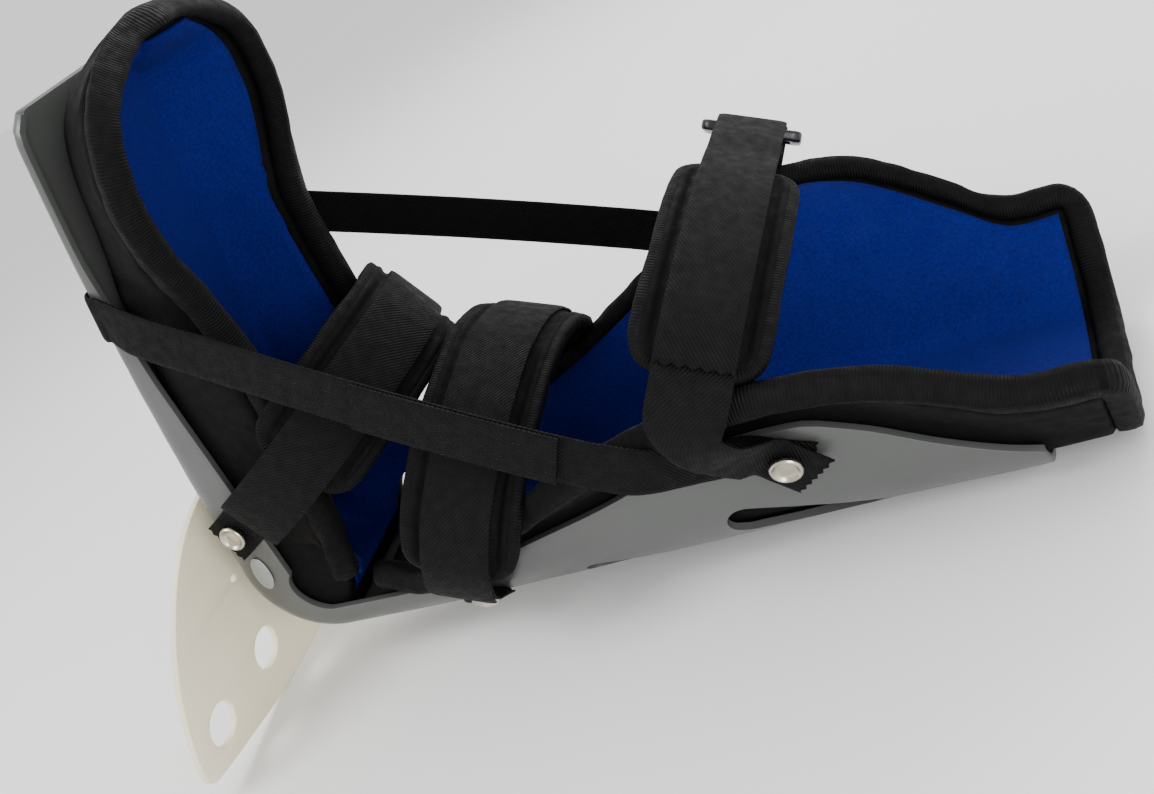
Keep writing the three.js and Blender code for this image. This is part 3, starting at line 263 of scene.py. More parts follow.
binding_finish = finish("ribbed_tape", (0.0016, 0.0016, 0.0019), 0.72, None,
                        (260, 3, 0.6, 0.82), (170, 4, 0.0006, 0.5), Specular_IOR_Level=0.11)
tape_ribs = binding_finish.ribs(260, binding_finish.where("UV"), wander=0.6)
binding_finish.tint(tape_ribs, 0.8, 1.3)
binding_finish.bump(tape_ribs, 0.00028, 0.9)

lining_finish = finish("brushed_blue", (0.002, 0.0052, 0.098), 0.9, None,
                       (120, 3, 0.82, 0.97), (60, 4, 0.0008, 0.4), Sheen_Weight=0.05,
                       Sheen_Roughness=0.5, Specular_IOR_Level=0.1)
lining_finish.shader.inputs["Sheen Tint"].default_value = (0.05, 0.12, 0.8, 1)
pile = lining_finish.noise(900, 6)
lining_finish.tint(pile, 0.72, 1.3)
lining_finish.bump(pile, 0.0004, 0.9)


def twill(name, colour, width):
    """Webbing of a width in metres: diagonal ribs, and stitches along both edges."""
    made = Finish(name, colour, 0.66, Specular_IOR_Level=0.1)
    diagonal = made.ribs(270, made.where("UV", turn=math.radians(52)), wander=0.25)
    cross = made.ribs(420, made.where("UV", turn=math.radians(-40)), wander=0.3)
    cloth = made.math("ADD", diagonal, made.math("MULTIPLY", cross, 0.35))
    made.tint(cloth, 0.62, 1.7)
    made.rough(made.noise(220, 3, made.where("UV")), 0.54, 0.76)
    made.bump(made.noise(90, 3), 0.0006, 0.4)
    made.bump(cloth, 0.0003, 0.9)
    parts = made.node("SeparateXYZ", {"Vector": made.where("UV")})
    edge = made.math("ABSOLUTE", parts.outputs["Y"], 0)
    line = made.math("COMPARE", edge, width / 2 - 0.0022)
    line.node.inputs[2].default_value = 0.00045
    dash = made.math("GREATER_THAN", made.math("FRACT", made.math(
        "MULTIPLY", parts.outputs["X"], 330), 0), 0.3)
    made.bump(made.math("MULTIPLY", line, dash), 0.0004, 0.7)
    return made


strap_finish = twill("black_twill", (0.0019, 0.0019, 0.0021), strap_width / 1000)
tension_finish = twill("black_twill_narrow", (0.0012, 0.0012, 0.0014), tension_width / 1000)
print("fabrics made")

# %% [markdown]
# ## Tables and sections
# A row of a table is one section of the trough: how wide, how high, how far the wall leans and
# how round its lower corner is. One could push and pull a box into this shape by hand, but a
# table is easier to correct. Between the rows each size follows a smooth curve that never
# overshoots, so the plastic has no creases.


# %% Tables
def table(names, *values):
    return {name: [row[i] for row in values] for i, name in enumerate(names.split())}


def eased(xs, ys, at):
    """Smooth value between rows, which never goes past the rows' own values."""
    at = min(max(at, xs[0]), xs[-1])
    k = min(max(bisect(xs, at) - 1, 0), len(xs) - 2)

    def slope(i):
        return (ys[i + 1] - ys[i]) / (xs[i + 1] - xs[i])

    def lean(i):
        if i == 0:
            return slope(0)
        if i == len(xs) - 1:
            return slope(i - 1)
        before, after = slope(i - 1), slope(i)
        return 2 * before * after / (before + after) if before * after > 0 else 0.0

    h = xs[k + 1] - xs[k]
    t = (at - xs[k]) / h
    return ((1 + 2 * t) * (1 - t) ** 2 * ys[k] + t * (1 - t) ** 2 * h * lean(k)
            + t * t * (3 - 2 * t) * ys[k + 1] + t * t * (t - 1) * h * lean(k + 1))


sole_rows = table(
    "at half height flare round",
    (0.18, 0.86, 1.00, 3, 0.30), (0.29, 0.90, 0.86, 4, 0.24), (0.41, 0.94, 0.68, 4, 0.18),
    (0.52, 0.97, 0.50, 4, 0.14), (0.60, 0.99, 0.38, 4, 0.12), (0.71, 1.00, 0.26, 4, 0.10),
    (0.80, 1.01, 0.18, 4, 0.09), (0.955, 1.00, 0.17, 4, 0.09), (0.985, 0.95, 0.165, 4, 0.09),
    (1.00, 0.84, 0.16, 4, 0.09))
calf_rows = table(
    "at half height flare round",
    (0.135, 0.77, 0.27, 4, 0.28), (0.20, 0.79, 0.265, 5, 0.28), (0.30, 0.83, 0.28, 7, 0.30),
    (0.38, 0.87, 0.39, 9, 0.40), (0.45, 0.91, 0.52, 11, 0.50), (0.56, 0.96, 0.70, 13, 0.60),
    (0.66, 0.99, 0.89, 14, 0.66), (0.745, 1.00, 1.00, 14, 0.70), (0.80, 1.00, 0.985, 14, 0.70),
    (0.85, 1.00, 0.85, 14, 0.70), (0.92, 1.01, 0.57, 15, 0.70), (0.98, 1.02, 0.37, 16, 0.70),
    (1.00, 1.02, 0.31, 16, 0.70))


def section(rows, at, half, height):
    return {"half": eased(rows["at"], rows["half"], at) * half,
            "height": eased(rows["at"], rows["height"], at) * height,
            "flare": math.radians(eased(rows["at"], rows["flare"], at)),
            "round": eased(rows["at"], rows["round"], at) * half}


def sole_section(along):
    return section(sole_rows, along / sole_length, toe_half, heel_wall)


def calf_section(along):
    return section(calf_rows, along / calf_length, cuff_half, cuff_wall)


def bend_section(share):
    first, second = sole_section(bend_start), calf_section(bend_start)
    return {key: first[key] * (1 - share) + second[key] * share for key in first}


def bend_inward(share):
    turn = (math.pi - ankle_angle) * (1 - share)
    return np.array([math.sin(turn), math.cos(turn)])


print("widest cuff section", calf_section(0.8 * calf_length))

# %% [markdown]
# ## Profiles
# A section becomes a line of points: flat floor, round corner, leaning wall. The same line
# serves the shell, and with an inset the liner that lies in it, so the two always fit.


# %% Profiles and rows of points
def run_length(points):
    """Length along a line at each of its points."""
    steps = np.linalg.norm(np.diff(points, axis=0), axis=1)
    return np.concatenate([[0], np.cumsum(steps)])


def between_rows(at, places, rows):
    """Rows of numbers read between their places."""
    rows = np.asarray(rows)
    return np.stack([np.interp(at, places, rows[:, k]) for k in range(rows.shape[1])], -1)


def resample(points, count):
    """The same number of evenly spaced points along a line."""
    points = np.array(points, float)
    length = run_length(points)
    return between_rows(np.linspace(0, length[-1], count + 1), length, points)


def trough_line(sec, inset, top):
    """Half of a trough section as pairs of out and up, from its middle to a height."""
    round_ = max(sec["round"] - inset, 1)
    half = sec["half"] - inset * math.tan(math.pi / 4 - sec["flare"] / 2)
    turn_end = math.pi / 2 - sec["flare"]
    arc_start = half - round_ * math.tan(turn_end / 2)
    line = [(0, inset), (arc_start, inset)]
    wall = min(sec["height"], top)
    for turn in np.linspace(0, turn_end, 25)[1:]:
        up = inset + round_ * (1 - math.cos(turn))
        if up > wall:
            break
        line.append((arc_start + round_ * math.sin(turn), up))
    if wall > line[-1][1] + 0.5:
        line.append((line[-1][0] + (wall - line[-1][1]) * math.tan(sec["flare"]), wall))
    return line


def across_row(profile, floor, direction):
    """The section on both sides of its floor point, leaning along a direction."""
    profile = np.asarray(profile)
    both = np.concatenate([profile[:0:-1] * [-1, 1], profile])
    side = floor + both[:, 1:2] * direction
    return np.stack([side[:, 0], both[:, 0], side[:, 1]], 1)


def normals(grid):
    along = np.gradient(grid, axis=0)
    across = np.gradient(grid, axis=1)
    return unit(np.cross(along, across))


def wall_spot(sec, height):
    """Outer face of the wall at a height: its distance out and the way that it faces."""
    arc_top = sec["round"] * (1 - math.sin(sec["flare"]))
    if height >= arc_top:
        turn = math.pi / 2 - sec["flare"]
        out = sec["half"] + height * math.tan(sec["flare"])
    else:
        turn = math.acos(1 - max(height, 0) / sec["round"])
        start = sec["half"] - sec["round"] * math.tan((math.pi / 2 - sec["flare"]) / 2)
        out = start + sec["round"] * math.sin(turn)
    return out, np.array([math.sin(turn), -math.cos(turn)])


print("points across half the cuff", len(trough_line(calf_section(290), 0, 60)))

# %% [markdown]
# ## Meshes
# Most pieces are two grids of points, an outer and an inner face, joined round their edges
# into one closed mesh. A solidify modifier could thicken one face, but here both faces are
# shaped. Grids keep clean quads, which the cloth simulation and the subdivision like, and
# give every piece a UV map along its own length and width.


# %% Meshes
def new_piece(name, vertices, faces, look, uv=None, sharp=None, metres=False):
    mesh = bpy.data.meshes.new(name)
    points = vertices if metres else placed(vertices)
    mesh.from_pydata([tuple(p) for p in points], [], faces)
    if uv is not None:
        layer = mesh.uv_layers.new(name="length_width")
        index = np.empty(len(mesh.loops), np.int32)
        mesh.loops.foreach_get("vertex_index", index)
        layer.data.foreach_set("uv", np.asarray(uv, np.float32)[index].ravel())
    made = bmesh.new()
    made.from_mesh(mesh)
    bmesh.ops.recalc_face_normals(made, faces=made.faces)
    made.to_mesh(mesh)
    made.free()
    mesh.polygons.foreach_set("use_smooth", [True] * len(mesh.polygons))
    if sharp:
        mesh.set_sharp_from_angle(angle=math.radians(sharp))
    mesh.materials.append(look.material)
    piece = bpy.data.objects.new(name, mesh)
    bpy.context.scene.collection.objects.link(piece)
    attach(piece, "root")
    return piece


print("piece helper ready")


# %% Closed grids
def closed_grid(first, second):
    """Vertices, faces and UV of the closed mesh between two grids of the same size."""
    rows, columns = first.shape[:2]
    number = np.arange(2 * rows * columns).reshape(2, rows, columns)
    faces = []
    for layer in (0, 1):
        a = number[layer]
        quads = np.stack([a[:-1, :-1], a[1:, :-1], a[1:, 1:], a[:-1, 1:]], -1).reshape(-1, 4)
        faces += (quads if layer == 0 else quads[:, ::-1]).tolist()
    ring = [*number[0, :, 0], *number[0, -1, 1:], *number[0, -2::-1, -1], *number[0, 0, -2:0:-1]]
    shift = rows * columns
    for k, corner in enumerate(ring):
        after = ring[(k + 1) % len(ring)]
        faces.append([int(corner), int(corner + shift), int(after + shift), int(after)])
    along = run_length(first[:, columns // 2])
    steps = np.linalg.norm(np.diff(first, axis=1), axis=2)
    across = np.concatenate([np.zeros((rows, 1)), np.cumsum(steps, axis=1)], 1)
    across -= across[:, -1:] / 2
    uv = np.stack([np.repeat(along[:, None], columns, 1), across], -1).reshape(-1, 2) / 1000
    points = np.concatenate([first.reshape(-1, 3), second.reshape(-1, 3)])
    return points, faces, np.concatenate([uv, uv])


print("grid helper ready")

# %% Tubes
tape_round = 25


def rings_mesh(rings, looped):
    """Vertices, faces and UV of a tube through rings of points."""
    rings = np.asarray(rings)
    count, sides = rings.shape[:2]
    faces = []
    for i in range(count if looped else count - 1):
        after = (i + 1) % count
        for j in range(sides):
            k = (j + 1) % sides
            faces.append([i * sides + j, i * sides + k, after * sides + k, after * sides + j])
    if not looped:
        faces.append(list(range(sides))[::-1])
        faces.append([(count - 1) * sides + j for j in range(sides)])
    round_ = np.linspace(0, 1, sides, endpoint=False) * tape_round
    uv = np.stack([np.repeat(run_length(rings.mean(1)), sides), np.tile(round_, count)], -1)
    return rings.reshape(-1, 3), faces, uv / 1000


def subdivided(piece):
    smooth = piece.modifiers.new("rounding", "SUBSURF")
    smooth.levels = smooth.render_levels = 1


print("tube and rounding helpers ready")

# %% [markdown]
# ## Flat cut parts
# The plate, the loop, the label and the cutters of the windows are flat shapes cut from sheet.
# A flat curve with holes, extruded and bevelled, does the same as cutting and rounding. It is
# turned into a mesh and laid in place by three directions.


# %% Flat cut parts
def flat_part(name, loops, thickness, bevel, basis, look):
    """A sheet cut to one outline with holes, its edges rounded, laid in a basis of the layout.
    basis is the directions of x, y and the thickness, and the place of the middle."""
    curve = bpy.data.curves.new(name, "CURVE")
    curve.dimensions, curve.fill_mode = "2D", "BOTH"
    curve.extrude = thickness / 2 - bevel
    curve.bevel_depth, curve.bevel_resolution, curve.offset = bevel, 2, -bevel
    for loop in loops:
        spline = curve.splines.new("POLY")
        spline.points.add(len(loop) - 1)
        for point, (x, y) in zip(spline.points, loop):
            point.co = (x, y, 0, 1)
        spline.use_cyclic_u = True
    holder = bpy.data.objects.new(name + "_outline", curve)
    bpy.context.scene.collection.objects.link(holder)
    graph = bpy.context.evaluated_depsgraph_get()
    drawn = bpy.data.meshes.new_from_object(holder.evaluated_get(graph))
    bpy.data.objects.remove(holder)
    cleaned = bmesh.new()
    cleaned.from_mesh(drawn)
    bmesh.ops.remove_doubles(cleaned, verts=cleaned.verts, dist=1e-4)
    cleaned.verts.index_update()
    flat = np.array([v.co for v in cleaned.verts])
    faces = [[v.index for v in f.verts] for f in cleaned.faces]
    cleaned.free()
    points = basis[3] + flat @ np.array(basis[:3])
    return new_piece(name, points, faces, look, sharp=40)


def circle(x, y, radius, sides=48):
    turns = np.linspace(0, 2 * math.pi, sides, endpoint=False)
    return [(x + radius * math.cos(t), y + radius * math.sin(t)) for t in turns]


print("cutting helper ready")

# %% [markdown]
# ## Shell
# The real shell is one sheet of polypropylene about 3 mm thick, moulded over a form: flat under
# the sole, round at the heel and flaring into a cuff. It is lofted from the sections, its rims
# are rounded with a bevel, and the teardrop windows are cut through its lower corners.


# %% Shell
def shell_rows():
    rows = []
    for along in np.linspace(sole_length, bend_start, 46):
        rows.append((sole_section(along), on_sole(along, 0), lift))
    for share in np.linspace(0, 1, 22)[1:-1]:
        inward = bend_inward(share)
        rows.append((bend_section(share), bend_centre - inward * heel_radius, inward))
    for along in np.linspace(bend_start, calf_length, 64):
        rows.append((calf_section(along), np.array([along, 0.0]), upright))
    return rows


shell_outer = np.array([
    across_row(resample(trough_line(sec, 0, sec["height"]), 18), floor, inward)
    for sec, floor, inward in shell_rows()])
shell_inner = shell_outer + normals(shell_outer) * shell_wall
points, faces, _ = closed_grid(shell_outer, shell_inner)
shell = new_piece("moulded_shell", points, faces, shell_finish)
print("shell vertices", len(shell.data.vertices))

# %% [markdown]
# ## Windows of the shell
# Two teardrop windows on each side make the real shell lighter and let air in. They
# could be left out of the grid, but its rows don't follow their outline. So they are cut with
# a Boolean, and the rim's bevel comes before it, so that it doesn't round the cuts twice.

# %% Window cutters
window_rows = table("start end height facing slope",
                    (0.68, 0.85, 1.0, 26, 15), (0.49, 0.62, 0.7, 46, 8))


def curve_to(start, middle, end, steps=10):
    t = np.linspace(0, 1, steps + 1)[1:, None]
    start, middle, end = map(np.array, (start, middle, end))
    return (1 - t) ** 2 * start + 2 * t * (1 - t) * middle + t * t * end


tools = []
for k in range(2):
    start, end, height, facing, slope = (window_rows[key][k] for key in window_rows)
    radius, length = height * 9, (end - start) * calf_length
    arc = [(radius * math.cos(t), radius * math.sin(t))
           for t in np.linspace(math.pi / 2, 1.5 * math.pi, 15)]
    tip = (length - radius, 0)
    outline = np.concatenate([arc, curve_to(arc[-1], (length * 0.6, -radius * 0.9), tip),
                              curve_to(tip, (length * 0.6, radius * 0.9), arc[0])])[:-1]
    for side in (-1, 1):
        turn = math.pi / 2 - math.radians(facing)
        outward = np.array([0, side * math.sin(turn), -math.cos(turn)])
        ahead = np.array([1.0, 0, 0])
        up_wall = np.cross(outward, ahead)
        lean = side * math.radians(slope)
        turned = outline @ np.array([[math.cos(lean), math.sin(lean)],
                                     [-math.sin(lean), math.cos(lean)]])
        sec = calf_section(start * calf_length)
        up = sec["round"] * (1 - math.cos(turn))
        centre = np.array([start * calf_length + radius, side * wall_spot(sec, up)[0], up])
        tools.append(flat_part(f"window_tool_{k}_{side}", [turned], 24, 0.01,
                               (ahead, up_wall, outward, centre), shell_finish))
print("window cutters", len(tools))


# %% Windows cut
def applied(piece):
    """Makes a piece's modifiers part of its mesh."""
    graph = bpy.context.evaluated_depsgraph_get()
    mesh = bpy.data.meshes.new_from_object(piece.evaluated_get(graph))
    piece.modifiers.clear()
    piece.data = mesh


rim = shell.modifiers.new("rounded_rim", "BEVEL")
rim.width, rim.segments, rim.limit_method = 0.0009, 3, "ANGLE"
rim.angle_limit = math.radians(55)
for tool in tools:
    cutter = shell.modifiers.new(tool.name, "BOOLEAN")
    cutter.object, cutter.operation, cutter.solver = tool, "DIFFERENCE", "EXACT"
applied(shell)
for tool in tools:
    bpy.data.objects.remove(tool)
shell.data.polygons.foreach_set("use_smooth", [True] * len(shell.data.polygons))
shell.data.set_sharp_from_angle(angle=math.radians(42))
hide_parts("shell")
print("shell faces", len(shell.data.polygons))

# %% [markdown]
# ## Stabiliser plate
# A flat ivory sheet screwed behind the heel, with a round upper edge, pointed lower corners
# and four holes. It could be lofted, but it is a drawn outline made 3 mm thick, because the
# real one is cut from sheet.

# %% Stabiliser plate
plate_half, plate_top, plate_bottom, plate_wall, plate_gap = 100, 84, -35, 3, 10
plate_rows = [
    (1.00, 0.00), (1.00, 0.20), (0.94, 0.39), (0.86, 0.51), (0.75, 0.63), (0.62, 0.73),
    (0.48, 0.82), (0.30, 0.90), (0.12, 0.955), (-0.20, 0.995), (-0.46, 1.00), (-0.60, 0.985),
    (-0.70, 0.93), (-0.84, 0.62), (-1.00, 0.30), (-1.00, 0.0)]
half_outline = np.array([(out * plate_half, up * plate_top if up > 0 else -up * plate_bottom)
                         for up, out in plate_rows])


def rounded_line(points, passes):
    """Cuts the corners of an open line a few times, which rounds them gently."""
    for _ in range(passes):
        first, second = points[:-1], points[1:]
        cut = np.stack([first * 0.75 + second * 0.25, first * 0.25 + second * 0.75], 1)
        points = np.concatenate([points[:1], cut.reshape(-1, points.shape[1]), points[-1:]])
    return points


smooth_half = rounded_line(half_outline, 2)
plate_loops = [np.concatenate([smooth_half[::-1] * [-1, 1], smooth_half[1:-1]])]
hole_out, hole_up, hole_radius = (27.5, 75.5), -7, 10.25
screw_out, screw_up, screw_radius = 27.5, 37, 2
for side in (-1, 1):
    plate_loops += [circle(side * out, hole_up, hole_radius) for out in hole_out]
    plate_loops.append(circle(side * screw_out, screw_up, screw_radius, 20))
sole_way, lift_way, out_way = spot(sole, 0), spot(lift, 0), np.array([0, 1.0, 0])
plate_middle = spot(on_sole(0, -plate_gap - plate_wall / 2), 0)
plate = flat_part("ivory_plate", plate_loops, plate_wall, 0.5,
                  (out_way, sole_way, lift_way, plate_middle), plate_finish)
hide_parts("stabiliser_plate")
for name in ("plate_spacer_near", "plate_spacer_far"):
    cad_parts[name].data.materials[0] = shell_finish.material
print("plate faces", len(plate.data.polygons))

# %% [markdown]
# ## Liners
# Each liner is foam about 8 mm thick in a charcoal knit, bound at its edge and lined in blue.
# The foam swells between the places where it is held. Sculpting that by hand would look
# guessed, so the grid is filled by a short cloth simulation, with its edge and its back
# against the shell held still.


# %% Cloth filling
def filled(piece, held, cap, pressure=4.0, frames=20):
    """Blows a closed piece up between its held points, no point by more than cap metres."""
    scene = bpy.context.scene
    before = np.array([v.co for v in piece.data.vertices])
    group = piece.vertex_groups.new(name="sewn")
    group.add([int(k) for k in np.flatnonzero(held)], 1.0, "REPLACE")
    cloth = piece.modifiers.new("filling", "CLOTH")
    cloth.settings.use_pressure = True
    cloth.settings.uniform_pressure_force = pressure
    cloth.settings.effector_weights.gravity = 0
    cloth.settings.vertex_group_mass = "sewn"
    cloth.settings.quality = 5
    cloth.collision_settings.use_collision = False
    cloth.point_cache.frame_start, cloth.point_cache.frame_end = 1, frames
    for number in range(1, frames + 1):
        scene.frame_set(number)
    graph = bpy.context.evaluated_depsgraph_get()
    after = np.array([v.co for v in piece.evaluated_get(graph).data.vertices])
    piece.modifiers.remove(cloth)
    piece.vertex_groups.remove(group)
    scene.frame_set(1)
    step = after - before
    far = np.linalg.norm(step, axis=1, keepdims=True)
    step *= np.minimum(1, cap / np.maximum(far, 1e-9))
    piece.data.vertices.foreach_set("co", (before + step).ravel())
    piece.data.update()
    print(piece.name, "swelled by", round(float(far.max()) * 1000, 2), "mm")


print("filling ready")

# %% [markdown]
# ## Liner sections
# The liners lie in the trough and lean out above its walls to rims of their own. Each row of
# their tables says where its section meets the floor and where its rim is. The foot liner
# goes on past the shell into a tall rounded toe end, and round the heel bend.

# %% Tables of the liners
pad_seat, lean_clear, lean_limit, heel_lean = shell_wall + 4 * gap, 2, 0.62, 0.8
foot_rows = table(
    "at rise half rim_at rim_up rim_out",
    (1.062, 0.84, 0.16, 1.066, 0.727, 0.20),
    (1.050, 0.60, 0.30, 1.056, 0.727, 0.40), (1.020, 0.34, 0.52, 1.035, 0.727, 0.64),
    (0.985, 0.15, 0.70, 1.005, 0.727, 0.82), (0.940, 0.05, 0.82, 0.960, 0.727, 0.94),
    (0.870, 0.00, 0.88, 0.880, 0.727, 1.00), (0.780, 0.00, 0.92, 0.785, 0.735, 0.93),
    (0.700, 0.00, 1.00, 0.700, 0.800, 0.82), (0.600, 0.00, 1.00, 0.600, 0.920, 0.79),
    (0.500, 0.00, 1.00, 0.500, 0.990, 0.78), (0.400, 0.00, 1.00, 0.410, 1.000, 0.78),
    (0.300, 0.00, 1.00, 0.330, 1.020, 0.78), (0.200, 0.00, 1.00, 0.265, 1.030, 0.76))
foot_heel_rim = (0.19, 1.07, 0.75)
calf_pad_rows = table(
    "at rim_at rim_up rim_out",
    (0.205, 0.250, 0.33, 0.575), (0.265, 0.290, 0.29, 0.59), (0.318, 0.325, 0.30, 0.61),
    (0.370, 0.370, 0.35, 0.62), (0.430, 0.430, 0.46, 0.66), (0.490, 0.490, 0.57, 0.72),
    (0.550, 0.550, 0.69, 0.79), (0.620, 0.620, 0.82, 0.87), (0.700, 0.700, 0.94, 0.95),
    (0.780, 0.780, 1.00, 1.00), (0.840, 0.840, 0.965, 0.99), (0.890, 0.890, 0.87, 0.945),
    (0.940, 0.940, 0.72, 0.885), (0.985, 0.985, 0.58, 0.84), (1.020, 1.025, 0.53, 0.82),
    (1.0608, 1.0658, 0.53, 0.82))
trough_columns, lean_columns = 13, 9
print("rows", len(foot_rows["at"]), len(calf_pad_rows["at"]))


# %% Liner sections
def liner_profile(sec, rim_out, rim_up, lean_from):
    """Down in the trough first, then curving out to the liner's own rim. Padding this thick
    can't take a tight corner, so the trough's corner is rounder than the shell's."""
    sec = {**sec, "round": max(sec["round"], min(15 + pad_seat, sec["half"] * 0.8))}
    trough = resample(trough_line({**sec, "height": lean_from}, pad_seat, lean_from),
                      trough_columns)
    start, before = trough[-1], trough[-2]
    end = np.array([rim_out, rim_up])
    reach = np.linalg.norm(end - start)
    middle = start + unit(start - before) * reach * 0.4
    return np.concatenate([trough, curve_to(start, middle, end, lean_columns)])


def table_row(rows, at):
    places = list(range(len(rows["at"])))
    return {key: eased(places, rows[key], at) for key in rows}


def liner_row(sec, floor, edge, rim_out, lean):
    """One row of a liner. lean gives where it leaves the trough, from the height of its rim."""
    up = np.linalg.norm(edge - floor)
    return across_row(liner_profile(sec, rim_out, up, lean(up)), floor, unit(edge - floor))


print("liner section points", 2 * (trough_columns + lean_columns) + 1)


# %% Liner grids
def foot_grid():
    grid = []
    last = len(foot_rows["at"]) - 1
    for at in np.concatenate([np.linspace(0, 2, 9)[:-1], np.linspace(2, last, 52)]):
        row = table_row(foot_rows, at)
        along = row["at"] * sole_length
        sec = sole_section(min(along, 0.95 * sole_length))
        narrowed = min(row["half"] * toe_half, sec["half"])
        base = row["rise"] * toe_oval
        floor = on_sole(along, base)
        edge = on_sole(row["rim_at"] * sole_length, row["rim_up"] * foot_wing)
        widest = max(sec["round"], base) + pad_seat
        clear = max(sec["height"] + lean_clear, sec["round"] + pad_seat)
        shape = {**sec, "half": narrowed, "round": min(widest, narrowed * 0.8)}
        grid.append(liner_row(shape, floor, edge, row["rim_out"] * foot_rim,
                              lambda up: min(clear, up * lean_limit)))
    apex = on_sole(1.071 * sole_length, 0.735 * foot_wing)
    brow = np.array([spot(apex, out) for out in np.linspace(-6, 6, len(grid[0]))])
    grid = [brow * (1 - share) + grid[0] * share for share in np.linspace(0, 1, 6)[:-1]] + grid
    rim_end = on_sole(foot_heel_rim[0] * sole_length, foot_heel_rim[1] * foot_wing)
    rim_start = on_sole(foot_rows["rim_at"][-1] * sole_length,
                        foot_rows["rim_up"][-1] * foot_wing)
    for share in np.linspace(0, 1, 13)[1:]:
        floor = bend_centre - bend_inward(share) * heel_radius
        edge = rim_start * (1 - share) + rim_end * share
        rim_out = (foot_rows["rim_out"][-1] * (1 - share) + foot_heel_rim[2] * share) * foot_rim
        grid.append(liner_row(bend_section(share), floor, edge, rim_out,
                              lambda up: up * heel_lean))
    return np.array(grid)


def calf_grid():
    grid = []
    for at in np.linspace(0, len(calf_pad_rows["at"]) - 1, 68):
        row = table_row(calf_pad_rows, at)
        sec = calf_section(min(row["at"] * calf_length, calf_length))
        floor = np.array([row["at"] * calf_length, 0])
        edge = np.array([row["rim_at"] * calf_length, row["rim_up"] * cuff_rim])
        grid.append(liner_row(sec, floor, edge, row["rim_out"] * cuff_rim_half,
                              lambda up: min(sec["height"] + lean_clear, up - lean_clear)))
    return np.array(grid)


def inner_face(grid):
    """The liner's inner face. The padding gets thinner where the toe end closes."""
    reach = np.abs(grid[:, -1, 1])
    depth = pad_thickness * np.clip(reach / 32, 0.3, 1)
    return grid + normals(grid) * depth[:, None, None]


liner_grids = {"foot": foot_grid(), "calf": calf_grid()}
print({part: grid.shape for part, grid in liner_grids.items()})

# %% [markdown]
# ## Liner pads
# The outside of the real pads has shallow creases near the rim, where the stiff foam is bent.
# They come from smooth noise in the mesh, and a bump in the finish adds only the fine ones.

# %% Liner pads
crease_depth, crease_size, swell_cap = 1.2, 16, 0.0022


def creased(grid):
    """Moves the points of a grid along its normals by smooth noise, most near its rims."""
    near_rim = np.abs(np.linspace(-1, 1, grid.shape[1])) ** 3
    shift = np.array([[noise.noise(Vector(p / crease_size) + Vector((3, 0, 0))) for p in row]
                      for row in grid])
    return grid + normals(grid) * (shift * near_rim * crease_depth)[..., None]


liner_pads = {}
for part, outer in liner_grids.items():
    points, faces, uv = closed_grid(creased(outer), inner_face(outer))
    pad = new_piece(f"{part}_liner_pad", points, faces, pad_finish, uv)
    held = np.zeros(outer.shape[:2], bool)
    held[[0, -1]] = True
    held[:, [0, -1]] = True
    back = held.copy()
    back[:, lean_columns - 1:-lean_columns + 1] = True
    filled(pad, np.concatenate([back.ravel(), held.ravel()]), swell_cap)
    subdivided(pad)
    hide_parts(f"{part}_pad")
    liner_pads[part] = pad
print("liner pads made")

# %% [markdown]
# ## Lining
# The blue face is a thin knit laid on the inside of each liner and sewn in under the binding.
# A shrinkwrap modifier could lay it on. Here each point of its grid is dropped onto the swollen
# pad by a ray, which keeps it the same small distance clear, so the lining follows the filling.


# %% Lining
def on_surface(grid, piece, clear):
    """Drops the points of a grid onto a piece from 8 mm inside, clear of it by some metres."""
    tree = BVHTree.FromObject(piece, bpy.context.evaluated_depsgraph_get())
    ways = normals(grid)
    found = []
    for point, way in zip(grid.reshape(-1, 3), ways.reshape(-1, 3)):
        start, direction = Vector(placed([point + way * 8])[0]), -placed_way(way)
        hit = tree.ray_cast(start, direction, 0.02)[0]
        seat = hit if hit is not None else Vector(placed([point])[0])
        found.append(seat - direction * clear)
    return np.array(found).reshape(grid.shape)


for part, outer in liner_grids.items():
    ends = slice(1, -1) if part == "calf" else slice(10, None)
    base = inner_face(outer)[ends, 1:-1]
    face = on_surface(base, liner_pads[part], 0.0002)
    top = face + normals(face) * lining_thickness / 1000
    points, faces, uv = closed_grid(face * 1000, top * 1000)
    cloth = new_piece(f"{part}_blue_lining", points / 1000, faces, lining_finish, uv,
                      metres=True)
    length = np.linalg.norm(np.diff(face, axis=0), axis=2).sum(0).max()
    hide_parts(f"{part}_lining")

# %% [markdown]
# ## Bindings
# A ribbed tape is folded over the raw edge of each liner and sewn down, which makes the thick
# black rim that the eye sees first. A curve with a round bevel would do, but would be too even.
# So it is a rounded bead of rings swept round the edge, a little uneven as sewn tape is, with
# the ribs across it in the finish.


# %% Edge lines
def edge_line(outer, inner, loop):
    """Middle of the edge, the way out of it and the way through it, all round a liner."""
    edges = [(np.s_[::-1, 0], np.s_[::-1, 1])]
    if loop:
        edges.append((np.s_[0, 1:-1], np.s_[1, 1:-1]))
    edges.append((np.s_[:, -1], np.s_[:, -2]))
    if loop:
        edges.append((np.s_[-1, -2:0:-1], np.s_[-2, -2:0:-1]))
    parts = [((outer[at] + inner[at]) / 2, unit(outer[at] - outer[beside]),
              unit(inner[at] - outer[at])) for at, beside in edges]
    return [np.concatenate(kind) for kind in zip(*parts)]


def smoothed(values, looped, passes):
    for _ in range(passes):
        before = np.roll(values, 1, 0)
        after = np.roll(values, -1, 0)
        if not looped:
            before[0], after[-1] = values[0], values[-1]
        values = values * 0.5 + before * 0.25 + after * 0.25
    return values


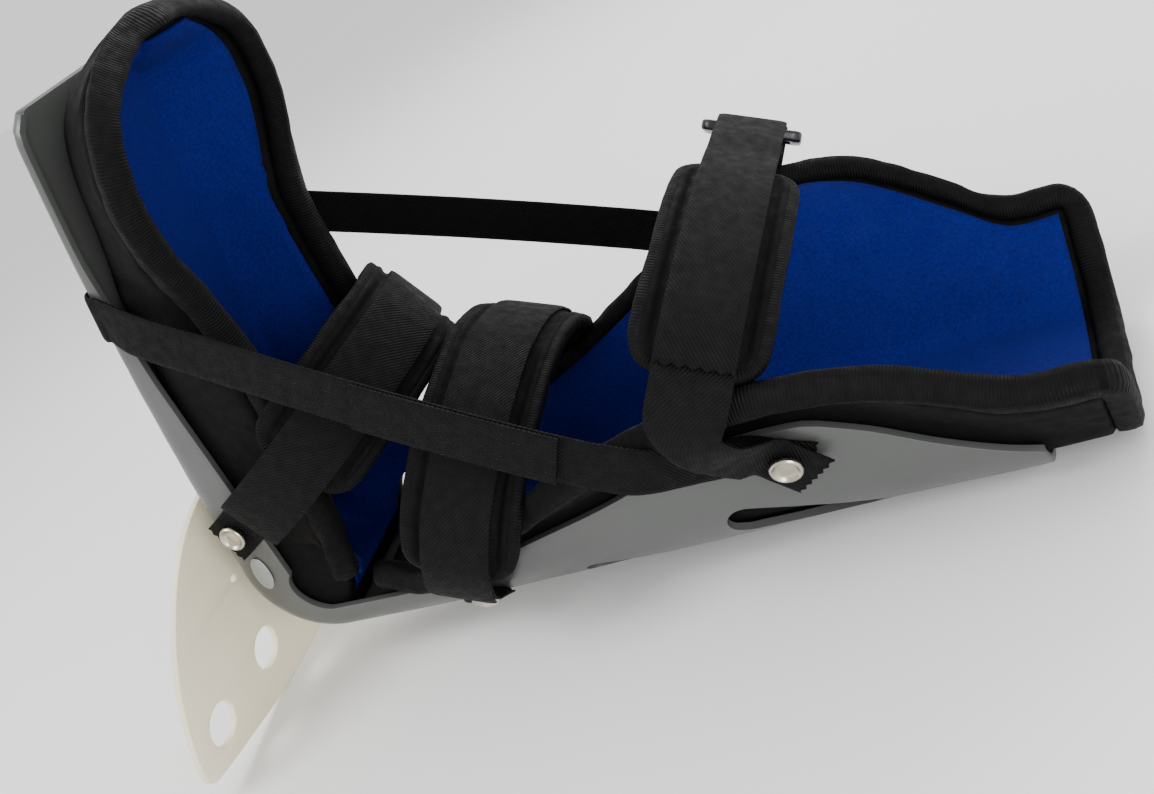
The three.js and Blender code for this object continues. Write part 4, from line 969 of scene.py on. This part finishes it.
def along_line(values, looped, spacing):
    """The rows of values again, evenly spaced along the first three columns."""
    if looped:
        values = np.concatenate([values, values[:1]])
    length = run_length(values[:, :3])
    at = np.linspace(0, length[-1], int(length[-1] / spacing) + 1)
    return between_rows(at[:-1] if looped else at, length, values)


print("edge helpers ready")

# %% Beads
bead_step, end_taper = 2.2, 9


def bead(name, centre, out, through, height, width, looped, seed):
    """A rounded bead: height along out, width along through, with slight puckers. An open
    bead narrows towards its ends."""
    rows = along_line(np.concatenate([centre, out, through], 1), looped, bead_step)
    rows = smoothed(rows, looped, 5)
    middle, out, through = rows[:, :3], unit(rows[:, 3:6]), unit(rows[:, 6:])
    turns = np.linspace(0, 2 * math.pi, 14, endpoint=False)
    squareness = (np.cos(turns) ** 4 + np.sin(turns) ** 4) ** -0.25 * 0.5
    swell = np.array([1 + 0.09 * noise.noise(Vector(p / 7) + Vector((seed, 0, 0)))
                      for p in middle])[:, None, None]
    shift = np.array([0.5 * noise.noise(Vector(p / 24) + Vector((0, seed, 0)))
                      for p in middle])[:, None]
    if not looped:
        number = np.arange(len(rows))
        ends = np.clip(np.minimum(number, number[::-1]) * bead_step / end_taper, 0, 1)
        swell = swell * (0.35 + 0.65 * np.sqrt(1 - (1 - ends) ** 2))[:, None, None]
    rings = ((middle + out * shift)[:, None]
             + out[:, None] * (np.cos(turns) * squareness * height)[None, :, None] * swell
             + through[:, None] * (np.sin(turns) * squareness * width)[None, :, None] * swell)
    points, faces, uv = rings_mesh(rings, looped)
    return new_piece(name, points, faces, binding_finish, uv)


print("bead ring every", bead_step, "mm")

# %% Bindings
for part, outer in liner_grids.items():
    loop = part == "calf"
    inner = inner_face(outer)
    start = 0 if loop else 1
    centre, out, through = edge_line(outer[start:], inner[start:], loop)
    if not loop:
        apex = slice(len(centre) // 2 - 16, len(centre) // 2 + 16)
        for values in (centre, out, through):
            values[apex] = smoothed(values[apex], False, 40)
    reach = binding_height + binding_seat
    middle = (centre + out * (reach / 2 - 0.4)
              + through * (binding_width - pad_thickness) / 2)
    tape = bead(f"{part}_ribbed_binding", middle, out, through, reach + 1.2, binding_width + 0.6,
                loop, 5.0)
    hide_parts(f"{part}_binding")
    print(tape.name, len(tape.data.vertices))

# %% [markdown]
# ## Straps
# Each strap is a length of webbing: it starts at a rivet on the wall, arches over and comes
# down to the rivet on the other side. The path runs through the same points as the solids. A
# flat curve could be extruded along it, but it twists by itself, so each row here also says
# which way is across.


# %% Paths
def path_curve(points, count):
    """Centripetal curve through points, with count steps from each point to the next."""
    points = np.asarray(points)
    ends = np.concatenate([[2 * points[0] - points[1]], points, [2 * points[-1] - points[-2]]])
    made = []
    for i in range(len(points) - 1):
        p = ends[i:i + 4]
        d = [max(np.linalg.norm(p[k + 1] - p[k]) ** 0.5, 1e-4) for k in range(3)]
        t1 = (p[1] - p[0]) / d[0] - (p[2] - p[0]) / (d[0] + d[1]) + (p[2] - p[1]) / d[1]
        t2 = (p[2] - p[1]) / d[1] - (p[3] - p[1]) / (d[1] + d[2]) + (p[3] - p[2]) / d[2]
        t1, t2 = t1 * d[1], t2 * d[1]
        t = np.linspace(0, 1, count + 1)[:-1, None]
        made.append(p[1] + t1 * t + (-3 * p[1] + 3 * p[2] - 2 * t1 - t2) * t ** 2
                    + (2 * p[1] - 2 * p[2] + t1 + t2) * t ** 3)
    return np.concatenate([*made, points[-1:]])


def through_rows(rows, count):
    """A finer path of points, ways across and widths through the rows of a path."""
    points = path_curve([r[0] for r in rows], count)
    at, places = np.linspace(0, len(rows) - 1, len(points)), np.arange(len(rows))
    across = between_rows(at, places, [r[1] for r in rows])
    width = np.interp(at, places, [r[2] for r in rows])
    return list(zip(points, unit(across), width))


def mirrored(rows):
    flip = np.array([1, -1, 1])
    return [(p * flip, a * flip, w) for p, a, w in rows][::-1]


def frames_of(path):
    """Points, ways along, across and outward, widths and lengths along a path."""
    points = np.array([r[0] for r in path])
    along = np.empty_like(points)
    along[1:-1] = points[2:] - points[:-2]
    along[0], along[-1] = points[1] - points[0], points[-1] - points[-2]
    along = unit(along)
    across = np.array([r[1] for r in path])
    across = unit(across - along * (across * along).sum(1, keepdims=True))
    outward = unit(np.cross(across, along))
    return points, along, across, outward, np.array([r[2] for r in path]), run_length(points)


def moved_in(path, distance, width):
    points, _, across, outward, _, _ = frames_of(path)
    return [(p - o * distance, a, width) for p, o, a in zip(points, outward, across)]


print("curve helpers ready")


# %% Rows on the walls
def sole_wall(place):
    return sole_section(place @ sole), place @ lift, lift


def calf_wall(place):
    return calf_section(place[0]), place[1], upright


def along_wall(place, way, wall):
    flat = np.array([way[0], way[2]])
    ahead, behind = (wall_spot(*wall(place + flat * k)[:2])[0] for k in (1, -1))
    return unit(np.array([flat[0], (behind - ahead) / 2, flat[1]]))


def wall_rows(base, rise, steps, wall, across, width, outward):
    rows = []
    for step in steps:
        place = base + rise * step
        sec, height, inward = wall(place)
        out, facing = wall_spot(sec, height)
        clear = outward + wall_slack
        side = place + inward * facing[1] * clear
        rows.append((spot(side, -(out + facing[0] * clear)), along_wall(place, across, wall),
                     width))
    return rows


def arch_rows(base, rise, across, rows, height, half, width):
    return [(spot(base + rise * up * height, -out * half), across, width) for up, out in rows]


def leaning(angle):
    return np.array([math.cos(math.radians(angle)), math.sin(math.radians(angle))])


def across_rise(rise):
    return np.array([rise[1], 0, -rise[0]])


print("wall helpers ready")

# %% [markdown]
# ## Webbing
# Woven webbing is flat in the middle, a little thinner at its selvedges, and cut in a zigzag so
# that it doesn't fray. A plane with a solidify modifier has hard square edges, so the strip
# gets a section of its own. Where a strap end is folded over and closed, a second layer lies
# on the first.


# %% Webbing
def webbing_strip(name, path, look=strap_finish, pinked=True, count=5):
    """A woven strip along a path with soft edges and zigzag ends."""
    points, along, across, outward, width, length = frames_of(through_rows(path, count))
    columns = 25
    c = np.linspace(-1, 1, columns)
    thick = webbing / 2 * (1 - 0.6 * np.abs(c) ** 10)
    ripple = np.array([0.16 * noise.noise(Vector(p / 9)) for p in points])[:, None]
    zigzag = 1.3 * (2 * np.abs((np.arange(columns) / 4) % 1 - 0.5) - 0.5)
    faces = []
    for side in (1, -1):
        grid = (points[:, None] + across[:, None] * (c * width[:, None] / 2)[..., None]
                + outward[:, None] * (side * thick[None] + ripple)[..., None])
        if pinked:
            grid[0] -= along[0] * zigzag[:, None]
            grid[-1] += along[-1] * zigzag[:, None]
        faces.append(grid)
    grid_points, quads, uv = closed_grid(*faces)
    return new_piece(name, grid_points, quads, look, uv, sharp=50)


def doubled_layer(name, path, start, end, width, look=strap_finish):
    """A second layer on the webbing, between two lengths along its path."""
    fine = through_rows(path, 6)
    length = frames_of(fine)[5]
    rows = [row for row, s in zip(fine, length) if start < s < min(end, length[-1] / 2)]
    webbing_strip(name, moved_in(rows, -(webbing + 0.15), width), look, pinked=False, count=1)
    return float(length[-1])


print("webbing helpers ready")

# %% [markdown]
# ## Forefoot and ankle straps
# These two close over the open trough. Their riveted tails are narrower, and each arch is half a
# table of up and out shares, mirrored, because the straps are the same on both sides.

# %% Forefoot and ankle straps
foot_base, foot_rise = on_sole(0.281 * sole_length, 15), leaning(26)
ankle_base, ankle_rise = np.array([0.354 * calf_length, 9]), leaning(62.7)
calf_base, calf_rise = np.array([0.779 * calf_length, 49]), leaning(59.5)
calf_line = np.array([1.0, 0, 0])
foot_arch = [(0.30, 0.95), (0.46, 1.00), (0.63, 0.95), (0.80, 0.77), (0.93, 0.46), (1.00, 0.0)]
ankle_arch = [(0.075, 0.636), (0.14, 0.75), (0.24, 0.91), (0.37, 0.99), (0.50, 1.00),
              (0.66, 0.93), (0.81, 0.73), (0.93, 0.43), (1.00, 0.0)]
foot_across = across_rise(foot_rise)
foot_near = wall_rows(foot_base, foot_rise, [-tail, 0, 11], sole_wall, foot_across,
                      anchor_width, stack_lift)
foot_arch_height, foot_arch_half, ankle_arch_height, ankle_arch_half = 116, 67, 101, 77
foot_near += arch_rows(foot_base, foot_rise, foot_across, foot_arch, foot_arch_height,
                       foot_arch_half, strap_width)
ankle_near = wall_rows(ankle_base, ankle_rise, [-0.8 * tail, -3, 1, 4], calf_wall, calf_line,
                       anchor_width, stack_lift)
ankle_near += arch_rows(ankle_base, ankle_rise, across_rise(ankle_rise), ankle_arch,
                        ankle_arch_height, ankle_arch_half, strap_width)
strap_paths = {}
for part, near, start in (("forefoot", foot_near, 52), ("ankle", ankle_near, 46)):
    strap_paths[part] = through_rows(near + mirrored(near)[1:], 2)
    strip = webbing_strip(f"{part}_twill_webbing", strap_paths[part])
    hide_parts(f"{part}_strap_webbing")
    length = doubled_layer(f"{part}_doubled_webbing", strap_paths[part], start, math.inf,
                           strap_width)
    print(part, "strap length", round(length), "mm")

# %% [markdown]
# ## Calf strap
# This strap is in two halves that meet at a plastic loop. The near half goes through it and
# folds back over itself, the far half holds it. Both follow one arch, so it is drawn once, and
# then cut at the loop and turned back round its bars.


# %% Calf strap paths
def rim_spot(at, up, out):
    return np.array([at * calf_length, -out * calf_arch_half, up * cuff_rim])


anchor_rise = leaning(125.5)
anchor_across, calf_across = across_rise(anchor_rise), across_rise(calf_rise)
calf_near = wall_rows(calf_base, anchor_rise, [-1.33 * tail, 0, 5.5], calf_wall, anchor_across,
                      anchor_width, stack_lift + stack_step)
calf_turn = [(0.762, 0.72, 0.79), (0.752, 0.80, 0.87), (0.741, 0.90, 0.955), (0.733, 1.00, 0.99)]
for i, row in enumerate(calf_turn):
    blend = unit(anchor_across * (1 - i / 4) + calf_across * i / 4)
    calf_near.append((rim_spot(*row), blend, anchor_width))
calf_top, calf_arch_rise = np.array([0.796 * calf_length, 126]), 42
calf_arch = [(0.00, 1.00), (0.30, 0.96), (0.58, 0.81), (0.80, 0.57), (0.95, 0.28), (1.00, 0.0)]
calf_near += arch_rows(calf_top - calf_rise * calf_arch_rise, calf_rise, calf_across, calf_arch,
                       calf_arch_rise, calf_arch_half, strap_width)
calf_path = through_rows(calf_near + mirrored(calf_near)[1:], 3)


print("calf strap rows", len(calf_path))


# %% Calf strap folds
def folded_back(path, radius, back_rows, settled):
    """The path goes on round a bar that lies outside it and comes back over itself. It lies
    close on the layer under it from the settled row on."""
    points, along, _, outward, _, _ = frames_of(path)
    end, ahead, out = path[-1], along[-1], outward[-1]
    centre = end[0] + out * radius
    result = list(path)
    for i in range(1, 7):
        turn = math.pi * i / 6
        point = centre - out * radius * math.cos(turn) + ahead * abs(radius) * math.sin(turn)
        result.append((point, end[1], end[2]))
    rest = math.copysign(stack_step + gap, radius)
    for i in range(1, back_rows + 1):
        share = min(i / settled, 1)
        raised = 2 * radius * (1 - share) + rest * share
        row = path[-1 - i]
        result.append((row[0] + outward[-1 - i] * raised, row[1], row[2]))
    return result, centre


loop_bar, loop_thickness, loop_span, loop_length = 5, 3.6, 17, 40
wrap = math.hypot(loop_bar, loop_thickness) / 2 + webbing / 2 + 2 * gap
middle_row = (len(calf_path) - 1) // 2
loop_row = next(i for i, r in enumerate(calf_path) if i > middle_row and r[0][1] > 56)
other_row = next(i for i, r in enumerate(calf_path) if i > loop_row
                 and np.linalg.norm(r[0] - calf_path[loop_row][0]) > loop_span)
near_fold, near_centre = folded_back(calf_path[:loop_row + 1], wrap, 18, 4)
far_fold, far_centre = folded_back(calf_path[other_row:][::-1], -wrap, 4, 3)
near_strip = webbing_strip("calf_twill_webbing", near_fold, count=4)
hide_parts("calf_strap_webbing")
far_strip = webbing_strip("calf_twill_anchor", far_fold, count=4)
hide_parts("calf_strap_anchor")
strap_paths["calf"] = calf_path
print("calf strap folds at", placed([near_centre, far_centre]).round(4).tolist())

# %% [markdown]
# ## Plastic loop
# The calf strap threads through a moulded loop with rounded corners, as wide as the webbing
# and a little more. It could be a bent wire, but the real one is flat: so it is a cut outline
# with a slot, its edges well rounded.


# %% Plastic loop
def rounded_box(half_long, half_across, corner, steps=6):
    points = []
    for k, (sx, sy) in enumerate(((1, 1), (-1, 1), (-1, -1), (1, -1))):
        for t in np.linspace(0, math.pi / 2, steps + 1):
            turn = t + k * math.pi / 2
            points.append((sx * (half_long - corner) + corner * math.cos(turn),
                           sy * (half_across - corner) + corner * math.sin(turn)))
    return points


between = far_centre - near_centre
loop_along = unit(between)
loop_out = unit(np.cross(loop_along, calf_across))
span = float(np.linalg.norm(between))
loop_piece = flat_part(
    "black_loop",
    [rounded_box((span + loop_bar) / 2, loop_length / 2, 4),
     rounded_box((span - loop_bar) / 2, loop_length / 2 - loop_bar, 1.5)],
    loop_thickness + 0.6, 1.1,
    (loop_along, calf_across, loop_out, (near_centre + far_centre) / 2), loop_finish)
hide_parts("calf_strap_loop")
print("loop span", round(span, 1), "mm")

# %% [markdown]
# ## Strap pads
# Under each arch the webbing lies on a padded sleeve. Its sides swell into soft ridges, a
# channel runs along each side of the webbing, and a bound edge goes all the way round. A
# stretched cushion would lose the channels, so the sleeve is a grid with that section, filled
# by the cloth simulation between its seams.


# %% Strap pads
def at_length(frames, s):
    points, along, across, outward, _, length = frames
    found = between_rows(s, length, np.concatenate([points, along, across, outward], 1))
    return found[..., :3], unit(found[..., 3:6]), unit(found[..., 6:9]), unit(found[..., 9:])


corner, edge_half, channel_at, channel_depth = 10.0, 0.7, 15.4, 1.6


def strap_pad(part, path):
    frames = frames_of(through_rows(path, 4))
    length = frames[5][-1]
    s = np.linspace(0, length, int(length / 3.0) + 1)
    ends = np.minimum(s, length - s)
    inset = np.where(ends < corner, corner - np.sqrt(np.maximum(
        corner ** 2 - (corner - ends) ** 2, 0)), 0)
    half = pad_width / 2 - inset
    c = np.linspace(-1, 1, 33)
    v = c[None] * half[:, None]
    to_edge = np.minimum(half[:, None] - np.abs(v), ends[:, None])
    dome = np.sqrt(1 - (1 - np.clip(to_edge / 4.5, 0, 1)) ** 2)
    channel = channel_depth * np.exp(-((np.abs(v) - channel_at) / 1.4) ** 2)
    top = edge_half + (pad_depth / 2 + 0.35 - edge_half) * dome - channel * np.clip(
        (ends[:, None] - 4) / 6, 0, 1)
    bottom = edge_half + (pad_depth / 2 - edge_half) * dome
    place, _, across, outward = at_length(frames, s)
    base = place[:, None] + across[:, None] * v[..., None]
    upper = base + outward[:, None] * top[..., None]
    lower = base - outward[:, None] * bottom[..., None]
    points, faces, uv = closed_grid(upper, lower)
    pad = new_piece(f"{part}_strap_padding", points, faces, pad_finish, uv)
    seam = to_edge < 0.5
    under_webbing = np.abs(v) < channel_at + 1.5
    filled(pad, np.concatenate([(seam | under_webbing).ravel(), seam.ravel()]), 0.0018, 6.0)
    subdivided(pad)
    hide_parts(f"{part}_strap_pad")
    piped_edge(part, frames, length)
    return pad


def piped_edge(part, frames, length):
    """The bound edge all round a strap pad."""
    around = np.array(rounded_box(length / 2, pad_width / 2, corner, 8))
    around = along_line(np.concatenate([around, np.zeros((len(around), 1))], 1), True, 2.0)
    ways = unit(np.roll(around, -1, 0) - np.roll(around, 1, 0))[:, [1, 0]] * [1, -1]
    place, along, across, outward = at_length(frames, around[:, 0] + length / 2)
    middle = place + across * around[:, 1:2]
    out = along * ways[:, :1] + across * ways[:, 1:]
    bead(f"{part}_strap_piping", middle - out * 0.6, out, outward, 5.4, 6.6, True, 9.0)


print("strap pad helpers ready")

# %% Strap pads made
pad_share = 0.3
for part, path in strap_paths.items():
    last = len(path) - 1
    if part == "calf":
        stretch = path[middle_row - 11:middle_row + 3]
    else:
        stretch = path[round(pad_share * last):round((1 - pad_share) * last) + 1]
    pad = strap_pad(part, moved_in(stretch, strap_seat, pad_width))
    print(pad.name, len(pad.data.vertices))

# %% [markdown]
# ## Tension strap
# A narrower webbing runs from the near calf rivet, along the outside, round the back of the
# sole and on to the far rivet. Pulling it draws the toe end towards the cuff. On the near side its
# end is doubled back over itself, so a second layer lies on it there. It touches the shell
# only at the rivets and round the sole, so its path is placed there by the shell's sections.

# %% Tension strap
tension_turn = [(0.748, 0.705, 0.727), (0.700, 0.82, 0.842), (0.652, 0.94, 0.930)]
tension_rim = [(0.947, 0.76, 0.944), (0.984, 0.29, 0.839)]
corner_sec = sole_section(tension_height)
walk = unit(on_sole(tension_height, 0) - calf_base)
run_across = across_rise(walk)
tension_near = wall_rows(calf_base, walk, [-tail, 0, 6], calf_wall, run_across, tension_width,
                         stack_lift)
first_across = tension_near[2][1]
for i, row in enumerate(tension_turn):
    blend = first_across * (1 - i / 2) + run_across * i / 2
    tension_near.append((rim_spot(*row), blend, tension_width))
for at, up, out in tension_rim:
    tension_near.append((spot(on_sole(at * tension_height, up * foot_wing), -out * foot_rim),
                         run_across, tension_width))
turn_radius = corner_sec["round"] + stack_lift + wall_slack
for turn in (90, 60, 30, 0):
    turned = leaning(turn) * turn_radius
    out = corner_sec["half"] - corner_sec["round"] + 0.4 + turned[1]
    place = on_sole(tension_height, corner_sec["round"] - turned[0])
    tension_near.append((spot(place, -out), sole_way, tension_width))
back = on_sole(tension_height, -(stack_lift + wall_slack))
tension_near.append((spot(back, -corner_sec["half"] / 2), sole_way, tension_width))
tension_path = through_rows(
    tension_near + [(spot(back, 0), sole_way, tension_width)] + mirrored(tension_near), 2)
tension = webbing_strip("tension_twill_webbing", tension_path, tension_finish)
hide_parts("tension_strap")
length = doubled_layer("tension_doubled_end", tension_path, 88, 172, tension_width,
                       tension_finish)
print("tension strap length", round(length), "mm")

# %% [markdown]
# ## Rivets and label
# Each strap is held by a nickel rivet with a rolled rim and a dished centre. A squashed sphere
# would miss the rim, so the cap is turned from a profile, as on a lathe. The label is a blank
# silver oval, cut from sheet.

# %% Rivets
rivet_profile = [(0, 1.0), (1.5, 0.98), (2.9, 0.92), (3.7, 0.95), (4.2, 1.35), (4.7, 2.0),
                 (5.2, 2.35), (5.8, 2.05), (6.15, 1.2), (6.1, 0.3), (5.6, -0.1), (0, -0.1)]
rivet_sides = 40


def rivet(name, base, wall, side, layers):
    sec, height, inward = wall(base)
    out, facing = wall_spot(sec, height)
    down = inward * facing[1]
    way = unit(np.array([down[0], side * facing[0], down[1]]))
    head = 2 * gap + wall_slack + layers * stack_step
    first = unit(np.cross(way, [0.3, 0.9, 0.1]))
    basis = np.array([first, np.cross(way, first), way])
    turned = [(x, y, head + h) for r, h in rivet_profile[1:-1]
              for x, y in circle(0, 0, r, rivet_sides)]
    turned += [(0, 0, head + rivet_profile[0][1]), (0, 0, head + rivet_profile[-1][1])]
    rings = len(rivet_profile) - 2
    faces = []
    for j in range(rivet_sides):
        k = (j + 1) % rivet_sides
        for i in range(0, (rings - 1) * rivet_sides, rivet_sides):
            faces.append([i + j, i + k, i + rivet_sides + k, i + rivet_sides + j])
        last = (rings - 1) * rivet_sides
        faces += [[rings * rivet_sides, k, j], [rings * rivet_sides + 1, last + j, last + k]]
    points = spot(base, side * out) + np.array(turned) @ basis
    piece = new_piece(name + "_cap", points, faces, rivet_finish, sharp=60)
    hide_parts(name)


for side, end in ((-1, "near"), (1, "far")):
    rivet(f"forefoot_rivet_{end}", foot_base, sole_wall, side, 1)
    rivet(f"ankle_rivet_{end}", ankle_base, calf_wall, side, 1)
    rivet(f"calf_rivet_{end}", calf_base, calf_wall, side, 2)

print("rivet caps made with", rivet_sides, "sides")

# %% Label
label_at, label_height = 51, 17
label_place = on_sole(label_at, label_height)
label_along = along_wall(label_place, sole_way, sole_wall)
label_up = along_wall(label_place, lift_way, sole_wall)
label_face = unit(np.cross(label_along, label_up))
label_face *= -np.sign(label_face[1])
label_out = wall_spot(sole_section(label_at), label_height)[0]
label_outline = [(x * 9.5, y * 4.5) for x, y in circle(0, 0, 1)]
label = flat_part("blank_label", [label_outline], 0.6, 0.2,
                  (label_along, np.cross(label_face, label_along), label_face,
                   spot(label_place, -label_out) + label_face * 0.6), label_finish)
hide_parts("side_label")
print("label made")

# %% [markdown]
# ## Floor and light
# A pale plain floor and soft studio lights, so the plastic shows long soft reflections and the
# black webbing keeps its shape. A sun would be simpler, but its shadows are too hard for a
# catalogue picture. The world is white, and three area lights shape the dark fabrics.

# %% Floor and light
floor_finish = Finish("pale_floor", (0.86, 0.86, 0.86), 0.7)
floor_finish.tint(floor_finish.noise(3, 2), 0.985, 1.01)
floor_mesh = bpy.data.meshes.new("floor")
floor_mesh.from_pydata([(-30, -30, 0), (30, -30, 0), (30, 30, 0), (-30, 30, 0)], [], [(0, 1, 2, 3)])
floor_mesh.materials.append(floor_finish.material)
floor = bpy.data.objects.new("floor", floor_mesh)
bpy.context.scene.collection.objects.link(floor)

world = bpy.data.worlds.new("studio")
world.use_nodes = True
world.node_tree.nodes["Background"].inputs["Color"].default_value = (1, 1, 1, 1)
world.node_tree.nodes["Background"].inputs["Strength"].default_value = 1.12
bpy.context.scene.world = world


def soft_light(name, place, aim, size, power):
    data = bpy.data.lights.new(name, "AREA")
    data.shape, data.size, data.size_y, data.energy = "RECTANGLE", size[0], size[1], power
    light = bpy.data.objects.new(name, data)
    bpy.context.scene.collection.objects.link(light)
    light.location = place
    light.rotation_mode = "QUATERNION"
    light.rotation_quaternion = (Vector(aim) - Vector(place)).to_track_quat("-Z", "Y")


soft_light("key", (-0.7, -0.6, 1.3), (0, 0, 0.1), (0.9, 0.6), 16)
soft_light("fill", (0.8, -0.9, 0.4), (0.0, 0, 0.08), (0.8, 0.5), 12)
soft_light("rim", (0.2, 1.1, 0.9), (0, 0, 0.12), (1.2, 0.4), 12)
print("lights", len(bpy.data.lights))
